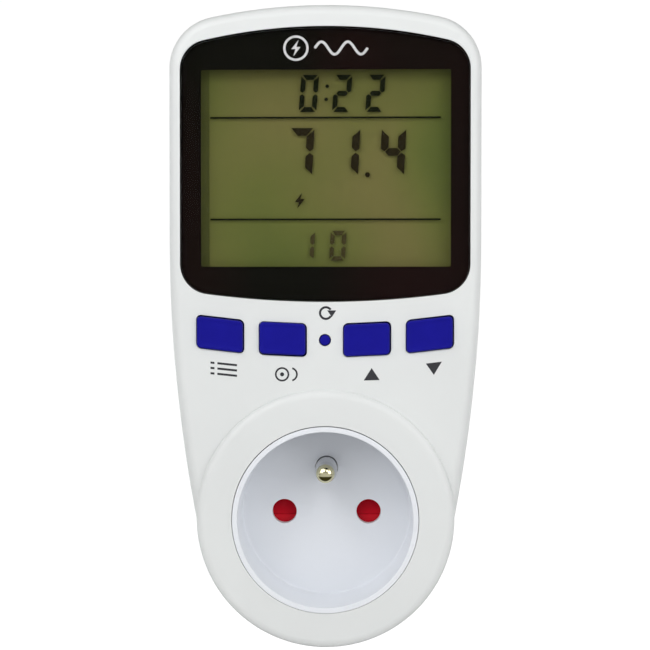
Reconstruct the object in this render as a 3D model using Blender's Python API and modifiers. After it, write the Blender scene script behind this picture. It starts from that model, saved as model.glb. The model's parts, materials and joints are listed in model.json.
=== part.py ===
"""Plug-in power meter with a display, five keys and a socket outlet with a fixed earth pin.

Frame: X to the right, Y into the wall socket, Z up. The origin is the middle of the plug's face.
Run it with: blender --background --python part.py
"""

import math

import bmesh
import bpy
from mathutils import Matrix, Vector

MM = 0.001
GAP = 0.3 * MM            # between neighbours whose faces are curved or cut
FILM = 0.1 * MM           # between flat faces that lie on each other

# Depths along Y, front to back
RING_FACE = -57.0 * MM    # face of the raised disc round the socket
PANEL_FACE = -55.5 * MM   # face of the display and key panel
PANEL_BACK = -53.0 * MM
BOARD_FRONT = -46.2 * MM
BOARD_BACK = -44.6 * MM
SOCKET_FLOOR = -42.0 * MM
PARTING = -40.0 * MM      # seam between the two casing halves
HEAD_SEAT = -33.0 * MM    # where the case screws' heads bear
UPPER_REAR = -24.0 * MM   # back of the thinner upper casing
REAR_FACE = -17.5 * MM    # back of the casing round the plug
PLUG_FACE = 0.0
PIN_LENGTH = 19.0 * MM

# Casing outline, seen from the front
HALF_WIDTH = 33.9 * MM
TOP = 111.4 * MM
TOP_RADIUS = 121.0 * MM
CORNER_RADIUS = 11.3 * MM
SIDE_RADIUS = 320.0 * MM
SIDE_TANGENT = 60.0 * MM
FOOT_RADIUS = 27.9 * MM   # round lower end, centred on the socket
DISC_RADIUS = 28.2 * MM
WALL = 2.0 * MM
EDGE_RADIUS = 2.6 * MM
STEP_LOW, STEP_HIGH = 42.0 * MM, 55.0 * MM    # slope between the two rear faces

# Display window outline
WINDOW_HALF_WIDTH = 31.2 * MM
WINDOW_TOP, WINDOW_TOP_RADIUS, WINDOW_TOP_CORNER = 106.4 * MM, 118.0 * MM, 6.2 * MM
WINDOW_FOOT, WINDOW_FOOT_RADIUS, WINDOW_FOOT_CORNER = 47.2 * MM, 195.0 * MM, 6.4 * MM
WINDOW_SINK = 0.1 * MM
WINDOW_THICK = 1.2 * MM
WINDOW_SEAT = -53.8 * MM
VIEW_HALF_WIDTH, VIEW_LOW, VIEW_HIGH = 28.0 * MM, 53.9 * MM, 98.1 * MM
LCD_HALF_WIDTH, LCD_LOW, LCD_HIGH = 29.2 * MM, 51.8 * MM, 100.2 * MM
FRAME_HALF_WIDTH, FRAME_LOW, FRAME_HIGH = 30.5 * MM, 50.5 * MM, 101.1 * MM
BOARD_HALF_WIDTH, BOARD_LOW, BOARD_HIGH = 29.8 * MM, 28.8 * MM, 101.5 * MM
POWER_FRONT, POWER_BACK = -28.5 * MM, -26.9 * MM

# Keys: two pairs on an arc, and a small round reset key in the middle
KEY_WIDTH, KEY_HEIGHT, KEY_CORNER = 9.9 * MM, 6.8 * MM, 1.1 * MM
KEY_CLEARANCE = 0.25 * MM
KEY_PROUD = 0.7 * MM
KEY_TRAVEL = 1.0 * MM
KEY_FLANGE = 1.1 * MM     # how far the retaining flange reaches past the key
KEY_ARC_FOOT, KEY_ARC_RADIUS = 38.8 * MM, 195.5 * MM
KEYS = {"function": -22.65 * MM, "cost": -9.1 * MM, "up": 9.1 * MM, "down": 22.65 * MM}
RESET_RADIUS = 1.05 * MM
RESET_HOLE_RADIUS = 1.35 * MM
FLANGE_FRONT, FLANGE_BACK = -52.6 * MM, -51.6 * MM
STEM_BACK = -47.75 * MM
PILL_BACK = -47.25 * MM

# Socket and plug
RECESS_RADIUS = 19.0 * MM
INSERT_RADIUS = 20.1 * MM
SOCKET_OPENING = 20.3 * MM
PIN_SPACING = 19.0 * MM
PIN_RADIUS = 2.4 * MM
PIN_HOLE_RADIUS = 2.75 * MM
EARTH_HEIGHT = 10.0 * MM
EARTH_PIN_LENGTH = 14.0 * MM
PLUG_RADIUS = 18.5 * MM
PLUG_BORE = 15.2 * MM
PLUG_FLANGE = 20.4 * MM
PLUG_RIM = -21.7 * MM
SHUTTER_TRAVEL = 6.2 * MM

# Case screws
CASE_SCREWS = {
    "upper_left": (-22.0 * MM, 105.2 * MM),
    "upper_right": (22.0 * MM, 105.2 * MM),
    "lower_left": (-20.0 * MM, -13.6 * MM),
    "lower_right": (20.0 * MM, -13.6 * MM),
}
BOARD_SCREWS = {"left": (-26.5 * MM, 32.0 * MM), "right": (26.5 * MM, 32.0 * MM)}
BOARD_PEGS = [
    (-23.0 * MM, 60.0 * MM),
    (23.0 * MM, 62.0 * MM),
    (-23.0 * MM, 94.0 * MM),
    (23.0 * MM, 94.0 * MM),
]
SCREW_RADIUS = 1.3 * MM
SCREW_HEAD_RADIUS = 2.4 * MM

FINISHES = {
    "casing_white": ((0.76, 0.77, 0.76), 0.42, 0.0),
    "socket_white": ((0.74, 0.76, 0.79), 0.35, 0.0),
    "key_blue": ((0.012, 0.010, 0.25), 0.50, 0.0),
    "window_acrylic": ((0.02, 0.02, 0.02), 0.08, 0.0),
    "gasket_black": ((0.02, 0.02, 0.02), 0.80, 0.0),
    "lcd_glass": ((0.13, 0.13, 0.04), 0.15, 0.0),
    "reflector_film": ((0.35, 0.36, 0.26), 0.30, 0.4),
    "frame_white": ((0.70, 0.70, 0.68), 0.55, 0.0),
    "zebra_rubber": ((0.25, 0.25, 0.26), 0.70, 0.0),
    "board_green": ((0.02, 0.16, 0.06), 0.45, 0.0),
    "chip_black": ((0.015, 0.015, 0.016), 0.60, 0.0),
    "crystal_steel": ((0.62, 0.62, 0.62), 0.30, 1.0),
    "key_mat": ((0.02, 0.02, 0.30), 0.60, 0.0),
    "carbon_pill": ((0.01, 0.01, 0.01), 0.85, 0.0),
    "shutter_red": ((0.35, 0.01, 0.015), 0.35, 0.0),
    "spring_steel": ((0.55, 0.55, 0.55), 0.30, 1.0),
    "pin_nickel": ((0.72, 0.69, 0.62), 0.22, 1.0),
    "earth_brass": ((0.80, 0.70, 0.42), 0.20, 1.0),
    "contact_brass": ((0.72, 0.50, 0.20), 0.30, 1.0),
    "shunt_alloy": ((0.60, 0.42, 0.32), 0.35, 1.0),
    "block_black": ((0.03, 0.03, 0.03), 0.55, 0.0),
    "capacitor_yellow": ((0.70, 0.48, 0.05), 0.45, 0.0),
    "capacitor_sleeve": ((0.02, 0.03, 0.10), 0.40, 0.0),
    "battery_green": ((0.03, 0.32, 0.10), 0.40, 0.0),
    "varistor_blue": ((0.03, 0.12, 0.45), 0.50, 0.0),
    "cable_grey": ((0.45, 0.45, 0.45), 0.55, 0.0),
    "wire_brown": ((0.16, 0.05, 0.02), 0.50, 0.0),
    "wire_blue": ((0.02, 0.10, 0.50), 0.50, 0.0),
    "screw_steel": ((0.48, 0.48, 0.50), 0.35, 1.0),
    "label_silver": ((0.66, 0.67, 0.68), 0.45, 0.3),
}


# ---------------------------------------------------------------- scene and materials

def clear_scene():
    for obj in list(bpy.data.objects):
        bpy.data.objects.remove(obj)


def collection(name):
    made = bpy.data.collections.new(name)
    bpy.context.scene.collection.children.link(made)
    return made


def material(name):
    found = bpy.data.materials.get(name)
    if found:
        return found
    colour, roughness, metallic = FINISHES[name]
    made = bpy.data.materials.new(name)
    made.use_nodes = True
    shader = made.node_tree.nodes["Principled BSDF"]
    shader.inputs["Base Color"].default_value = (*colour, 1.0)
    shader.inputs["Roughness"].default_value = roughness
    shader.inputs["Metallic"].default_value = metallic
    return made


def add_object(name, data, finish=None, at=(0.0, 0.0, 0.0)):
    """Puts data in the scene: a part where it has a finish, and otherwise a hidden tool for a Boolean."""
    obj = bpy.data.objects.new(name, data)
    obj.location = at
    if finish:
        PARTS.objects.link(obj)
        obj.parent = METER
        data.materials.append(material(finish))
    else:
        TOOLS.objects.link(obj)
        obj.hide_render = True
        obj.display_type = "WIRE"
    return obj


# ---------------------------------------------------------------- shapes

def box(name, x, y, z, finish=None):
    """A box between two values on each axis."""
    low = Vector((x[0], y[0], z[0]))
    high = Vector((x[1], y[1], z[1]))
    middle = (low + high) / 2
    bm = bmesh.new()
    bmesh.ops.create_cube(bm, size=1.0)
    bmesh.ops.scale(bm, vec=high - low, verts=bm.verts)
    mesh = bpy.data.meshes.new(name)
    bm.to_mesh(mesh)
    bm.free()
    return add_object(name, mesh, finish, middle)


def cylinder(name, radius, start, end, finish=None, sides=20, end_radius=None):
    """A round bar from one point to another, or a cone where end_radius differs."""
    start, end = Vector(start), Vector(end)
    axis = end - start
    bm = bmesh.new()
    bmesh.ops.create_cone(
        bm,
        cap_ends=True,
        segments=sides,
        radius1=radius,
        radius2=radius if end_radius is None else end_radius,
        depth=axis.length,
    )
    turn = axis.to_track_quat("Z", "Y").to_matrix().to_4x4()
    bmesh.ops.transform(bm, matrix=turn, verts=bm.verts)
    mesh = bpy.data.meshes.new(name)
    bm.to_mesh(mesh)
    bm.free()
    return add_object(name, mesh, finish, (start + end) / 2)


def plate(name, outline, depth, finish=None, at=(0.0, 0.0), along="Y", holes=()):
    """A flat outline given thickness. Along Y the outline's points are (x, z); along X they are (y, z)."""
    curve = bpy.data.curves.new(name, "CURVE")
    curve.dimensions = "2D"
    curve.fill_mode = "BOTH"
    curve.extrude = (depth[1] - depth[0]) / 2
    for loop in (outline, *holes):
        spline = curve.splines.new("POLY")
        spline.points.add(len(loop) - 1)
        for point, (u, v) in zip(spline.points, loop):
            point.co = (u, v, 0.0, 1.0)
        spline.use_cyclic_u = True
    drawn = bpy.data.objects.new(name + "_curve", curve)
    bpy.context.scene.collection.objects.link(drawn)
    bpy.context.view_layer.update()
    graph = bpy.context.evaluated_depsgraph_get()
    mesh = bpy.data.meshes.new_from_object(drawn.evaluated_get(graph))
    bpy.data.objects.remove(drawn)
    middle = (depth[0] + depth[1]) / 2
    if along == "Y":
        frame = Matrix(((1, 0, 0, 0), (0, 0, -1, 0), (0, 1, 0, 0), (0, 0, 0, 1)))
        place = (at[0], middle, at[1])
    else:
        frame = Matrix(((0, 0, 1, 0), (1, 0, 0, 0), (0, 1, 0, 0), (0, 0, 0, 1)))
        place = (middle, at[0], at[1])
    bm = bmesh.new()
    bm.from_mesh(mesh)
    bmesh.ops.remove_doubles(bm, verts=bm.verts, dist=1e-6)
    bmesh.ops.transform(bm, matrix=frame, verts=bm.verts)
    bmesh.ops.dissolve_limit(bm, angle_limit=math.radians(0.05), verts=bm.verts, edges=bm.edges)
    bmesh.ops.recalc_face_normals(bm, faces=bm.faces)
    bm.to_mesh(mesh)
    bm.free()
    mesh.name = name
    return add_object(name, mesh, finish, place)


def turned(name, profile, finish=None, at=(0.0, 0.0), steps=48):
    """A shape turned round the Y direction, from (radius, y) points whose outer side runs back to front."""
    bm = bmesh.new()
    points = [bm.verts.new((radius, 0.0, y)) for radius, y in profile]
    for first, second in zip(points, points[1:]):
        bm.edges.new((first, second))
    if profile[0][0] > 0:
        bm.edges.new((points[-1], points[0]))
    mesh = bpy.data.meshes.new(name)
    bm.to_mesh(mesh)
    bm.free()
    obj = add_object(name, mesh, finish, (at[0], 0.0, at[1]))
    obj.rotation_euler = (-math.pi / 2, 0.0, 0.0)
    screw = obj.modifiers.new("Turn", "SCREW")
    screw.steps = screw.render_steps = steps
    screw.use_merge_vertices = True
    screw.merge_threshold = 1e-6
    return obj


def tube(name, route, radius, finish, sides_level=1):
    """A wire along a list of points."""
    curve = bpy.data.curves.new(name, "CURVE")
    curve.dimensions = "3D"
    curve.bevel_depth = radius
    curve.bevel_resolution = sides_level
    curve.use_fill_caps = True
    spline = curve.splines.new("POLY")
    spline.points.add(len(route) - 1)
    for point, place in zip(spline.points, route):
        point.co = (*place, 1.0)
    return add_object(name, curve, finish)


def smooth_route(stations, count):
    """Points read along a smooth curve through the stations."""
    spans = len(stations) - 1
    padded = [2 * stations[0] - stations[1], *stations, 2 * stations[-1] - stations[-2]]
    route = []
    for i in range(count + 1):
        at = i / count * spans
        k = min(int(at), spans - 1)
        t = at - k
        a, b, c, d = padded[k:k + 4]
        square, cube = 2 * a - 5 * b + 4 * c - d, 3 * b - 3 * c + d - a
        route.append(0.5 * (2 * b + (c - a) * t + square * t**2 + cube * t**3))
    return route


def boolean(target, tool, operation):
    modifier = target.modifiers.new(operation.title(), "BOOLEAN")
    modifier.operation = operation
    modifier.object = tool


def cut(target, *tools):
    for tool in tools:
        boolean(target, tool, "DIFFERENCE")


def join(target, *tools):
    for tool in tools:
        boolean(target, tool, "UNION")


def soften(target, width, segments):
    """Rounds the edges that turn by more than 40 degrees."""
    bevel = target.modifiers.new("Soften", "BEVEL")
    bevel.width = width
    bevel.segments = segments
    bevel.limit_method = "ANGLE"
    bevel.angle_limit = math.radians(40)


# ---------------------------------------------------------------- outlines

def arc(cx, cz, radius, start, end, steps):
    """Points on a circle between two angles in degrees, both ends included."""
    angles = [math.radians(start + (end - start) * i / steps) for i in range(steps + 1)]
    return [(cx + radius * math.cos(a), cz + radius * math.sin(a)) for a in angles]


def mirrored(half):
    """A closed outline from its right half, which runs from the bottom to the top."""
    left = [(-x, z) for x, z in reversed(half) if x > 1e-9]
    return half + left


def tangent_corner(half_width, corner, cap_centre, cap_radius, side):
    """Centre and end angle of a corner arc that runs into a cap arc; side is 1 at the top, -1 below."""
    across = half_width - corner
    reach = cap_radius - corner
    height = cap_centre + side * math.sqrt(reach**2 - across**2)
    return across, height, 90.0 - math.degrees(math.asin(across / reach))


def casing_outline(inset=0.0):
    """The casing from the front: a round foot, sides that bow out, and a crowned top with round corners."""
    side_centre = HALF_WIDTH - SIDE_RADIUS
    side_radius = SIDE_RADIUS - inset
    foot_radius = FOOT_RADIUS - inset
    apart = math.hypot(side_centre, SIDE_TANGENT)
    towards = math.atan2(SIDE_TANGENT, side_centre)
    cosine = (apart**2 + foot_radius**2 - side_radius**2) / (2 * apart * foot_radius)
    meet = towards - math.acos(cosine)
    meet_x, meet_z = foot_radius * math.cos(meet), foot_radius * math.sin(meet)
    side_start = math.degrees(math.atan2(meet_z - SIDE_TANGENT, meet_x - side_centre))
    top_centre = TOP - TOP_RADIUS
    corner_x, corner_z, corner_end = tangent_corner(HALF_WIDTH, CORNER_RADIUS, top_centre, TOP_RADIUS, 1)
    half = arc(0, 0, foot_radius, -90, math.degrees(meet), 12)
    half += arc(side_centre, SIDE_TANGENT, side_radius, side_start, 0, 5)[1:]
    half += arc(corner_x, corner_z, CORNER_RADIUS - inset, 0, corner_end, 5)
    half += arc(0, top_centre, TOP_RADIUS - inset, corner_end, 90, 3)[1:]
    half[0] = (0.0, half[0][1])
    half[-1] = (0.0, half[-1][1])
    return mirrored(half)


def window_outline(inset=0.0):
    """The display window: a crowned top, a bowed foot and four round corners."""
    top_centre = WINDOW_TOP - WINDOW_TOP_RADIUS
    foot_centre = WINDOW_FOOT + WINDOW_FOOT_RADIUS
    top_x, top_z, top_end = tangent_corner(
        WINDOW_HALF_WIDTH, WINDOW_TOP_CORNER, top_centre, WINDOW_TOP_RADIUS, 1
    )
    foot_x, foot_z, foot_end = tangent_corner(
        WINDOW_HALF_WIDTH, WINDOW_FOOT_CORNER, foot_centre, WINDOW_FOOT_RADIUS, -1
    )
    half = arc(0, foot_centre, WINDOW_FOOT_RADIUS - inset, -90, -foot_end, 3)
    half += arc(foot_x, foot_z, WINDOW_FOOT_CORNER - inset, -foot_end, 0, 4)[1:]
    half += arc(top_x, top_z, WINDOW_TOP_CORNER - inset, 0, top_end, 4)
    half += arc(0, top_centre, WINDOW_TOP_RADIUS - inset, top_end, 90, 3)[1:]
    half[0] = (0.0, half[0][1])
    half[-1] = (0.0, half[-1][1])
    return mirrored(half)


def rectangle(x, z):
    return [(x[0], z[0]), (x[1], z[0]), (x[1], z[1]), (x[0], z[1])]


def circle(cx, cz, radius, steps=20):
    return arc(cx, cz, radius, 0, 360 * (1 - 1 / steps), steps - 1)


def key_outline(grow, lean, steps=3):
    """A round-cornered key centred on its own origin, its top and foot leaning along the key arc."""
    half_width, half_height = KEY_WIDTH / 2 + grow, KEY_HEIGHT / 2 + grow
    corner = KEY_CORNER + max(grow, 0.0)
    points = []
    for turn, (sx, sz) in enumerate(((1, 1), (-1, 1), (-1, -1), (1, -1))):
        cx, cz = sx * (half_width - corner), sz * (half_height - corner)
        points += arc(cx, cz, corner, 90 * turn, 90 * (turn + 1), steps)
    return [(x, z + lean * x) for x, z in points]


def key_place(x):
    """Where a key sits on the arc, and how much its edges lean there."""
    return (x, KEY_ARC_FOOT + x**2 / (2 * KEY_ARC_RADIUS)), x / KEY_ARC_RADIUS


# ---------------------------------------------------------------- casing

def casing_form(name, inset, front, finish=None):
    """The whole casing as a solid: the outline in depth, with the thinner upper back sloped away."""
    form = plate(name, casing_outline(inset), (front, REAR_FACE - inset), finish)
    behind = 20 * MM
    upper, lower = UPPER_REAR - inset, REAR_FACE - inset
    slope = [
        (upper, STEP_HIGH),
        (upper, TOP + behind),
        (behind, TOP + behind),
        (behind, STEP_LOW - behind),
        (lower, STEP_LOW),
    ]
    cut(form, plate(name + "_step", slope, (-behind * 2, behind * 2), along="X"))
    soften(form, EDGE_RADIUS - inset, 3 if inset == 0 else 1)
    return form


def half_space(name, y):
    """A block that covers one side of the parting plane."""
    reach = 150 * MM
    return box(name, (-reach, reach), y, (-reach, reach))


def front_shell():
    shell = casing_form("front_shell", 0.0, PANEL_FACE, "casing_white")
    disc = [
        (SOCKET_OPENING, RING_FACE),
        (SOCKET_OPENING, -52.0 * MM),
        (DISC_RADIUS, -52.0 * MM),
        (DISC_RADIUS, RING_FACE + 1.45 * MM),
        (DISC_RADIUS - 0.3 * MM, RING_FACE + 0.75 * MM),
        (DISC_RADIUS - 1.0 * MM, RING_FACE + 0.2 * MM),
        (DISC_RADIUS - 2.0 * MM, RING_FACE),
    ]
    cut(shell, casing_form("front_cavity", WALL, PANEL_BACK))
    join(shell, turned("socket_disc", disc, steps=60))
    cut(shell, half_space("behind_parting", (PARTING - GAP / 2, 60 * MM)))
    for place, (x, z) in CASE_SCREWS.items():
        start, end = (x, PANEL_BACK - 1 * MM, z), (x, PARTING - GAP / 2, z)
        join(shell, cylinder(f"front_boss_{place}", 2.7 * MM, start, end, sides=16))
    for place, (x, z) in BOARD_SCREWS.items():
        start, end = (x, PANEL_BACK - 1 * MM, z), (x, BOARD_FRONT - GAP, z)
        join(shell, cylinder(f"board_post_{place}", 2.2 * MM, start, end, sides=12))
    cut_front_openings(shell)
    for place, (x, z) in CASE_SCREWS.items():
        start, end = (x, -49.0 * MM, z), (x, PARTING + 1 * MM, z)
        cut(shell, cylinder(f"front_pilot_{place}", SCREW_RADIUS + GAP, start, end, sides=12))
    for place, (x, z) in BOARD_SCREWS.items():
        start, end = (x, -52.5 * MM, z), (x, BOARD_FRONT + 1 * MM, z)
        cut(shell, cylinder(f"post_pilot_{place}", 1.2 * MM, start, end, sides=10))
    return shell


def cut_front_openings(shell):
    """The window's seat and opening, the key openings, and the socket's round opening."""
    clear = -70 * MM
    cut(shell, plate("window_seat", window_outline(-0.15 * MM), (clear, WINDOW_SEAT)))
    view = rectangle((-VIEW_HALF_WIDTH, VIEW_HALF_WIDTH), (VIEW_LOW, VIEW_HIGH))
    cut(shell, plate("view_opening", view, (clear, -52.2 * MM)))
    for name, x in KEYS.items():
        place, lean = key_place(x)
        opening = key_outline(KEY_CLEARANCE, lean)
        cut(shell, plate(f"{name}_opening", opening, (clear, -52.2 * MM), at=place))
    reset_start, reset_end = (0, clear, KEY_ARC_FOOT), (0, -52.2 * MM, KEY_ARC_FOOT)
    cut(shell, cylinder("reset_opening", RESET_HOLE_RADIUS, reset_start, reset_end, sides=20))
    cut(shell, cylinder("socket_opening", SOCKET_OPENING, (0, clear, 0), (0, -45 * MM, 0), sides=60))


def rear_shell():
    shell = casing_form("rear_shell", 0.0, PANEL_FACE, "casing_white")
    cut(shell, casing_form("rear_cavity", WALL, PANEL_BACK))
    cut(shell, half_space("before_parting", (-90 * MM, PARTING + GAP / 2)))
    lip = 3.2 * MM
    root = (PARTING + GAP / 2, PARTING + 3 * MM)
    tongue = (PARTING - 2.3 * MM, PARTING + 2 * MM)
    join(shell, plate("lip_root", casing_outline(1.8 * MM), root, holes=[casing_outline(lip)]))
    inner = casing_outline(lip + 0.05 * MM)
    join(shell, plate("lip_tongue", casing_outline(2.3 * MM), tongue, holes=[inner]))
    for place, (x, z) in CASE_SCREWS.items():
        back = (UPPER_REAR if z > STEP_HIGH else REAR_FACE) - 1 * MM
        tongue_start, tongue_end = (x, PARTING - 4 * MM, z), (x, PARTING, z)
        cut(shell, cylinder(f"tongue_relief_{place}", 3.1 * MM, tongue_start, tongue_end, sides=16))
        start, end = (x, PARTING + GAP / 2, z), (x, back, z)
        join(shell, cylinder(f"rear_boss_{place}", 3.4 * MM, start, end, sides=16))
        through_start, through_end = (x, PARTING - 1 * MM, z), (x, back + 5 * MM, z)
        cut(shell, cylinder(f"clearance_{place}", SCREW_RADIUS + GAP, through_start, through_end, sides=12))
        seat_start = (x, HEAD_SEAT, z)
        cut(shell, cylinder(f"counterbore_{place}", 2.7 * MM, seat_start, through_end, sides=16))
    for i, (x, z) in enumerate(BOARD_PEGS):
        root, shoulder, tip = UPPER_REAR - 1 * MM, POWER_BACK + FILM, POWER_FRONT - 1.2 * MM
        join(shell, cylinder(f"board_shoulder_{i}", 2.2 * MM, (x, root, z), (x, shoulder, z), sides=12))
        join(shell, cylinder(f"board_peg_{i}", 1.0 * MM, (x, root, z), (x, tip, z), sides=10))
    cut(shell, cylinder("plug_opening", PLUG_RADIUS + GAP, (0, -24 * MM, 0), (0, -10 * MM, 0), sides=48))
    return shell


def case_screws():
    for place, (x, z) in CASE_SCREWS.items():
        profile = [
            (0.0, HEAD_SEAT + 2.1 * MM),
            (SCREW_HEAD_RADIUS * 0.7, HEAD_SEAT + 2.1 * MM),
            (SCREW_HEAD_RADIUS, HEAD_SEAT + 1.5 * MM),
            (SCREW_HEAD_RADIUS, HEAD_SEAT + FILM),
            (SCREW_RADIUS, HEAD_SEAT + FILM),
            (SCREW_RADIUS, -47.2 * MM),
            (0.0, -48.3 * MM),
        ]
        screw = turned(f"case_screw_{place}", profile, "screw_steel", at=(x, z), steps=12)
        slot_y = (HEAD_SEAT + 1.2 * MM, HEAD_SEAT + 4 * MM)
        arm, half = 1.3 * MM, 0.3 * MM
        bar = box(f"slot_{place}", (x - arm, x + arm), slot_y, (z - half, z + half))
        post = box(f"cross_{place}", (x - half, x + half), slot_y, (z - arm, z + arm))
        join(bar, post)
        cut(screw, bar)


def rear_label():
    outline = rectangle((-19 * MM, 19 * MM), (66 * MM, 98 * MM))
    plate("rear_label", outline, (UPPER_REAR + 0.05 * MM, UPPER_REAR + 0.25 * MM), "label_silver")


# ---------------------------------------------------------------- display

def display():
    window_front = PANEL_FACE + WINDOW_SINK
    window_back = window_front + WINDOW_THICK
    plate("display_window", window_outline(GAP / 2), (window_front, window_back), "window_acrylic")
    view = rectangle((-VIEW_HALF_WIDTH, VIEW_HALF_WIDTH), (VIEW_LOW, VIEW_HIGH))
    gasket = (window_back + FILM, WINDOW_SEAT - FILM)
    plate("window_gasket", window_outline(1.0 * MM), gasket, "gasket_black", holes=[view])
    glass_front = PANEL_BACK + GAP
    glass_back = glass_front + 1.6 * MM
    lcd = ((-LCD_HALF_WIDTH, LCD_HALF_WIDTH), (LCD_LOW, LCD_HIGH))
    box("lcd_glass", lcd[0], (glass_front, glass_back), lcd[1], "lcd_glass")
    film_front = glass_back + FILM
    film_back = film_front + 0.2 * MM
    film_low, film_high = LCD_LOW + 3.2 * MM, LCD_HIGH - 3.2 * MM
    box("lcd_reflector", lcd[0], (film_front, film_back), (film_low, film_high), "reflector_film")
    frame_back = BOARD_FRONT - FILM
    outer = rectangle((-FRAME_HALF_WIDTH, FRAME_HALF_WIDTH), (FRAME_LOW, FRAME_HIGH))
    pocket = rectangle(
        (-LCD_HALF_WIDTH - GAP, LCD_HALF_WIDTH + GAP), (LCD_LOW - GAP, LCD_HIGH + GAP)
    )
    plate("lcd_frame", outer, (PANEL_BACK + GAP, frame_back), "frame_white", holes=[pocket])
    for name, low in (("lower", LCD_LOW + 0.4 * MM), ("upper", LCD_HIGH - 2.6 * MM)):
        strip_z = (low, low + 2.2 * MM)
        strip_y = (glass_back + FILM, BOARD_FRONT - FILM)
        box(f"zebra_strip_{name}", (-27 * MM, 27 * MM), strip_y, strip_z, "zebra_rubber")


def display_board():
    edge = rectangle((-BOARD_HALF_WIDTH, BOARD_HALF_WIDTH), (BOARD_LOW, BOARD_HIGH))
    holes = [circle(x, z, 1.3 * MM, 12) for x, z in BOARD_SCREWS.values()]
    plate("display_board", edge, (BOARD_FRONT, BOARD_BACK), "board_green", holes=holes)
    for place, (x, z) in BOARD_SCREWS.items():
        profile = [
            (0.0, BOARD_BACK + 1.5 * MM),
            (1.4 * MM, BOARD_BACK + 1.5 * MM),
            (2.1 * MM, BOARD_BACK + 0.9 * MM),
            (2.1 * MM, BOARD_BACK + FILM),
            (0.9 * MM, BOARD_BACK + FILM),
            (0.9 * MM, -51.0 * MM),
            (0.0, -51.8 * MM),
        ]
        turned(f"board_screw_{place}", profile, "screw_steel", at=(x, z), steps=12)
    blob_start, blob_end = (-6 * MM, BOARD_BACK + FILM, 84 * MM), (-6 * MM, BOARD_BACK + 1.5 * MM, 84 * MM)
    cylinder("display_chip", 6.5 * MM, blob_start, blob_end, "chip_black", sides=20, end_radius=4.5 * MM)
    can_y = BOARD_BACK + 1.6 * MM
    can_start, can_end = (16 * MM, can_y, 78 * MM), (16 * MM, can_y, 86 * MM)
    cylinder("clock_crystal", 1.4 * MM, can_start, can_end, "crystal_steel", sides=12)


# ---------------------------------------------------------------- keys

def key_mat():
    """The flat rubber sheet that the keys belong to, lying on the board, open under each key."""
    sheet = rectangle((-29 * MM, 29 * MM), (34.9 * MM, 46.0 * MM))
    holes = []
    for x in KEYS.values():
        (place_x, place_z), lean = key_place(x)
        holes.append([(place_x + u, place_z + v) for u, v in key_outline(0.3 * MM, lean, 2)])
    holes.append(circle(0, KEY_ARC_FOOT, 2.4 * MM, 16))
    plate("key_mat", sheet, (-47.3 * MM, BOARD_FRONT - FILM), "key_mat", holes=holes)


def keys():
    for name, x in KEYS.items():
        place, lean = key_place(x)
        cap_y = (PANEL_FACE - KEY_PROUD, FLANGE_FRONT + 0.5 * MM)
        key = plate(f"key_{name}", key_outline(0.0, lean), cap_y, "key_blue", at=place)
        soften_front(key, 0.5 * MM)
        flange = plate(f"{name}_flange", key_outline(KEY_FLANGE, lean), (FLANGE_FRONT, FLANGE_BACK), at=place)
        stem_depth = (FLANGE_BACK - 0.5 * MM, STEM_BACK)
        stem = plate(f"{name}_stem", key_outline(-1.0 * MM, lean), stem_depth, at=place)
        join(key, flange, stem)
        pill_start = (place[0], STEM_BACK + 0.05 * MM, place[1])
        pill_end = (place[0], PILL_BACK, place[1])
        cylinder(f"pill_{name}", 1.8 * MM, pill_start, pill_end, "carbon_pill", sides=16)
    place = (0.0, KEY_ARC_FOOT)
    profile = [
        (0.0, STEM_BACK),
        (1.5 * MM, STEM_BACK),
        (1.5 * MM, FLANGE_BACK),
        (2.6 * MM, FLANGE_BACK),
        (2.6 * MM, FLANGE_FRONT),
        (RESET_RADIUS, FLANGE_FRONT),
        (RESET_RADIUS, PANEL_FACE + 0.5 * MM),
        (RESET_RADIUS - 0.25 * MM, PANEL_FACE + 0.25 * MM),
        (0.0, PANEL_FACE + 0.15 * MM),
    ]
    turned("key_reset", profile, "key_blue", at=place, steps=20)
    pill_start, pill_end = (0, STEM_BACK + 0.05 * MM, KEY_ARC_FOOT), (0, PILL_BACK, KEY_ARC_FOOT)
    cylinder("pill_reset", 1.2 * MM, pill_start, pill_end, "carbon_pill", sides=12)


def soften_front(obj, width):
    """Rounds only the rim of the face that looks to the front."""
    bm = bmesh.new()
    bm.from_mesh(obj.data)
    front = min(v.co.y for v in bm.verts)
    rim = [
        e
        for e in bm.edges
        if all(abs(v.co.y - front) < 1e-6 for v in e.verts)
        and not all(abs(f.normal.y) > 0.9 for f in e.link_faces)
    ]
    bmesh.ops.bevel(bm, geom=rim, offset=width, segments=2, affect="EDGES", profile=0.5)
    bm.to_mesh(obj.data)
    bm.free()


# ---------------------------------------------------------------- socket

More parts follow.
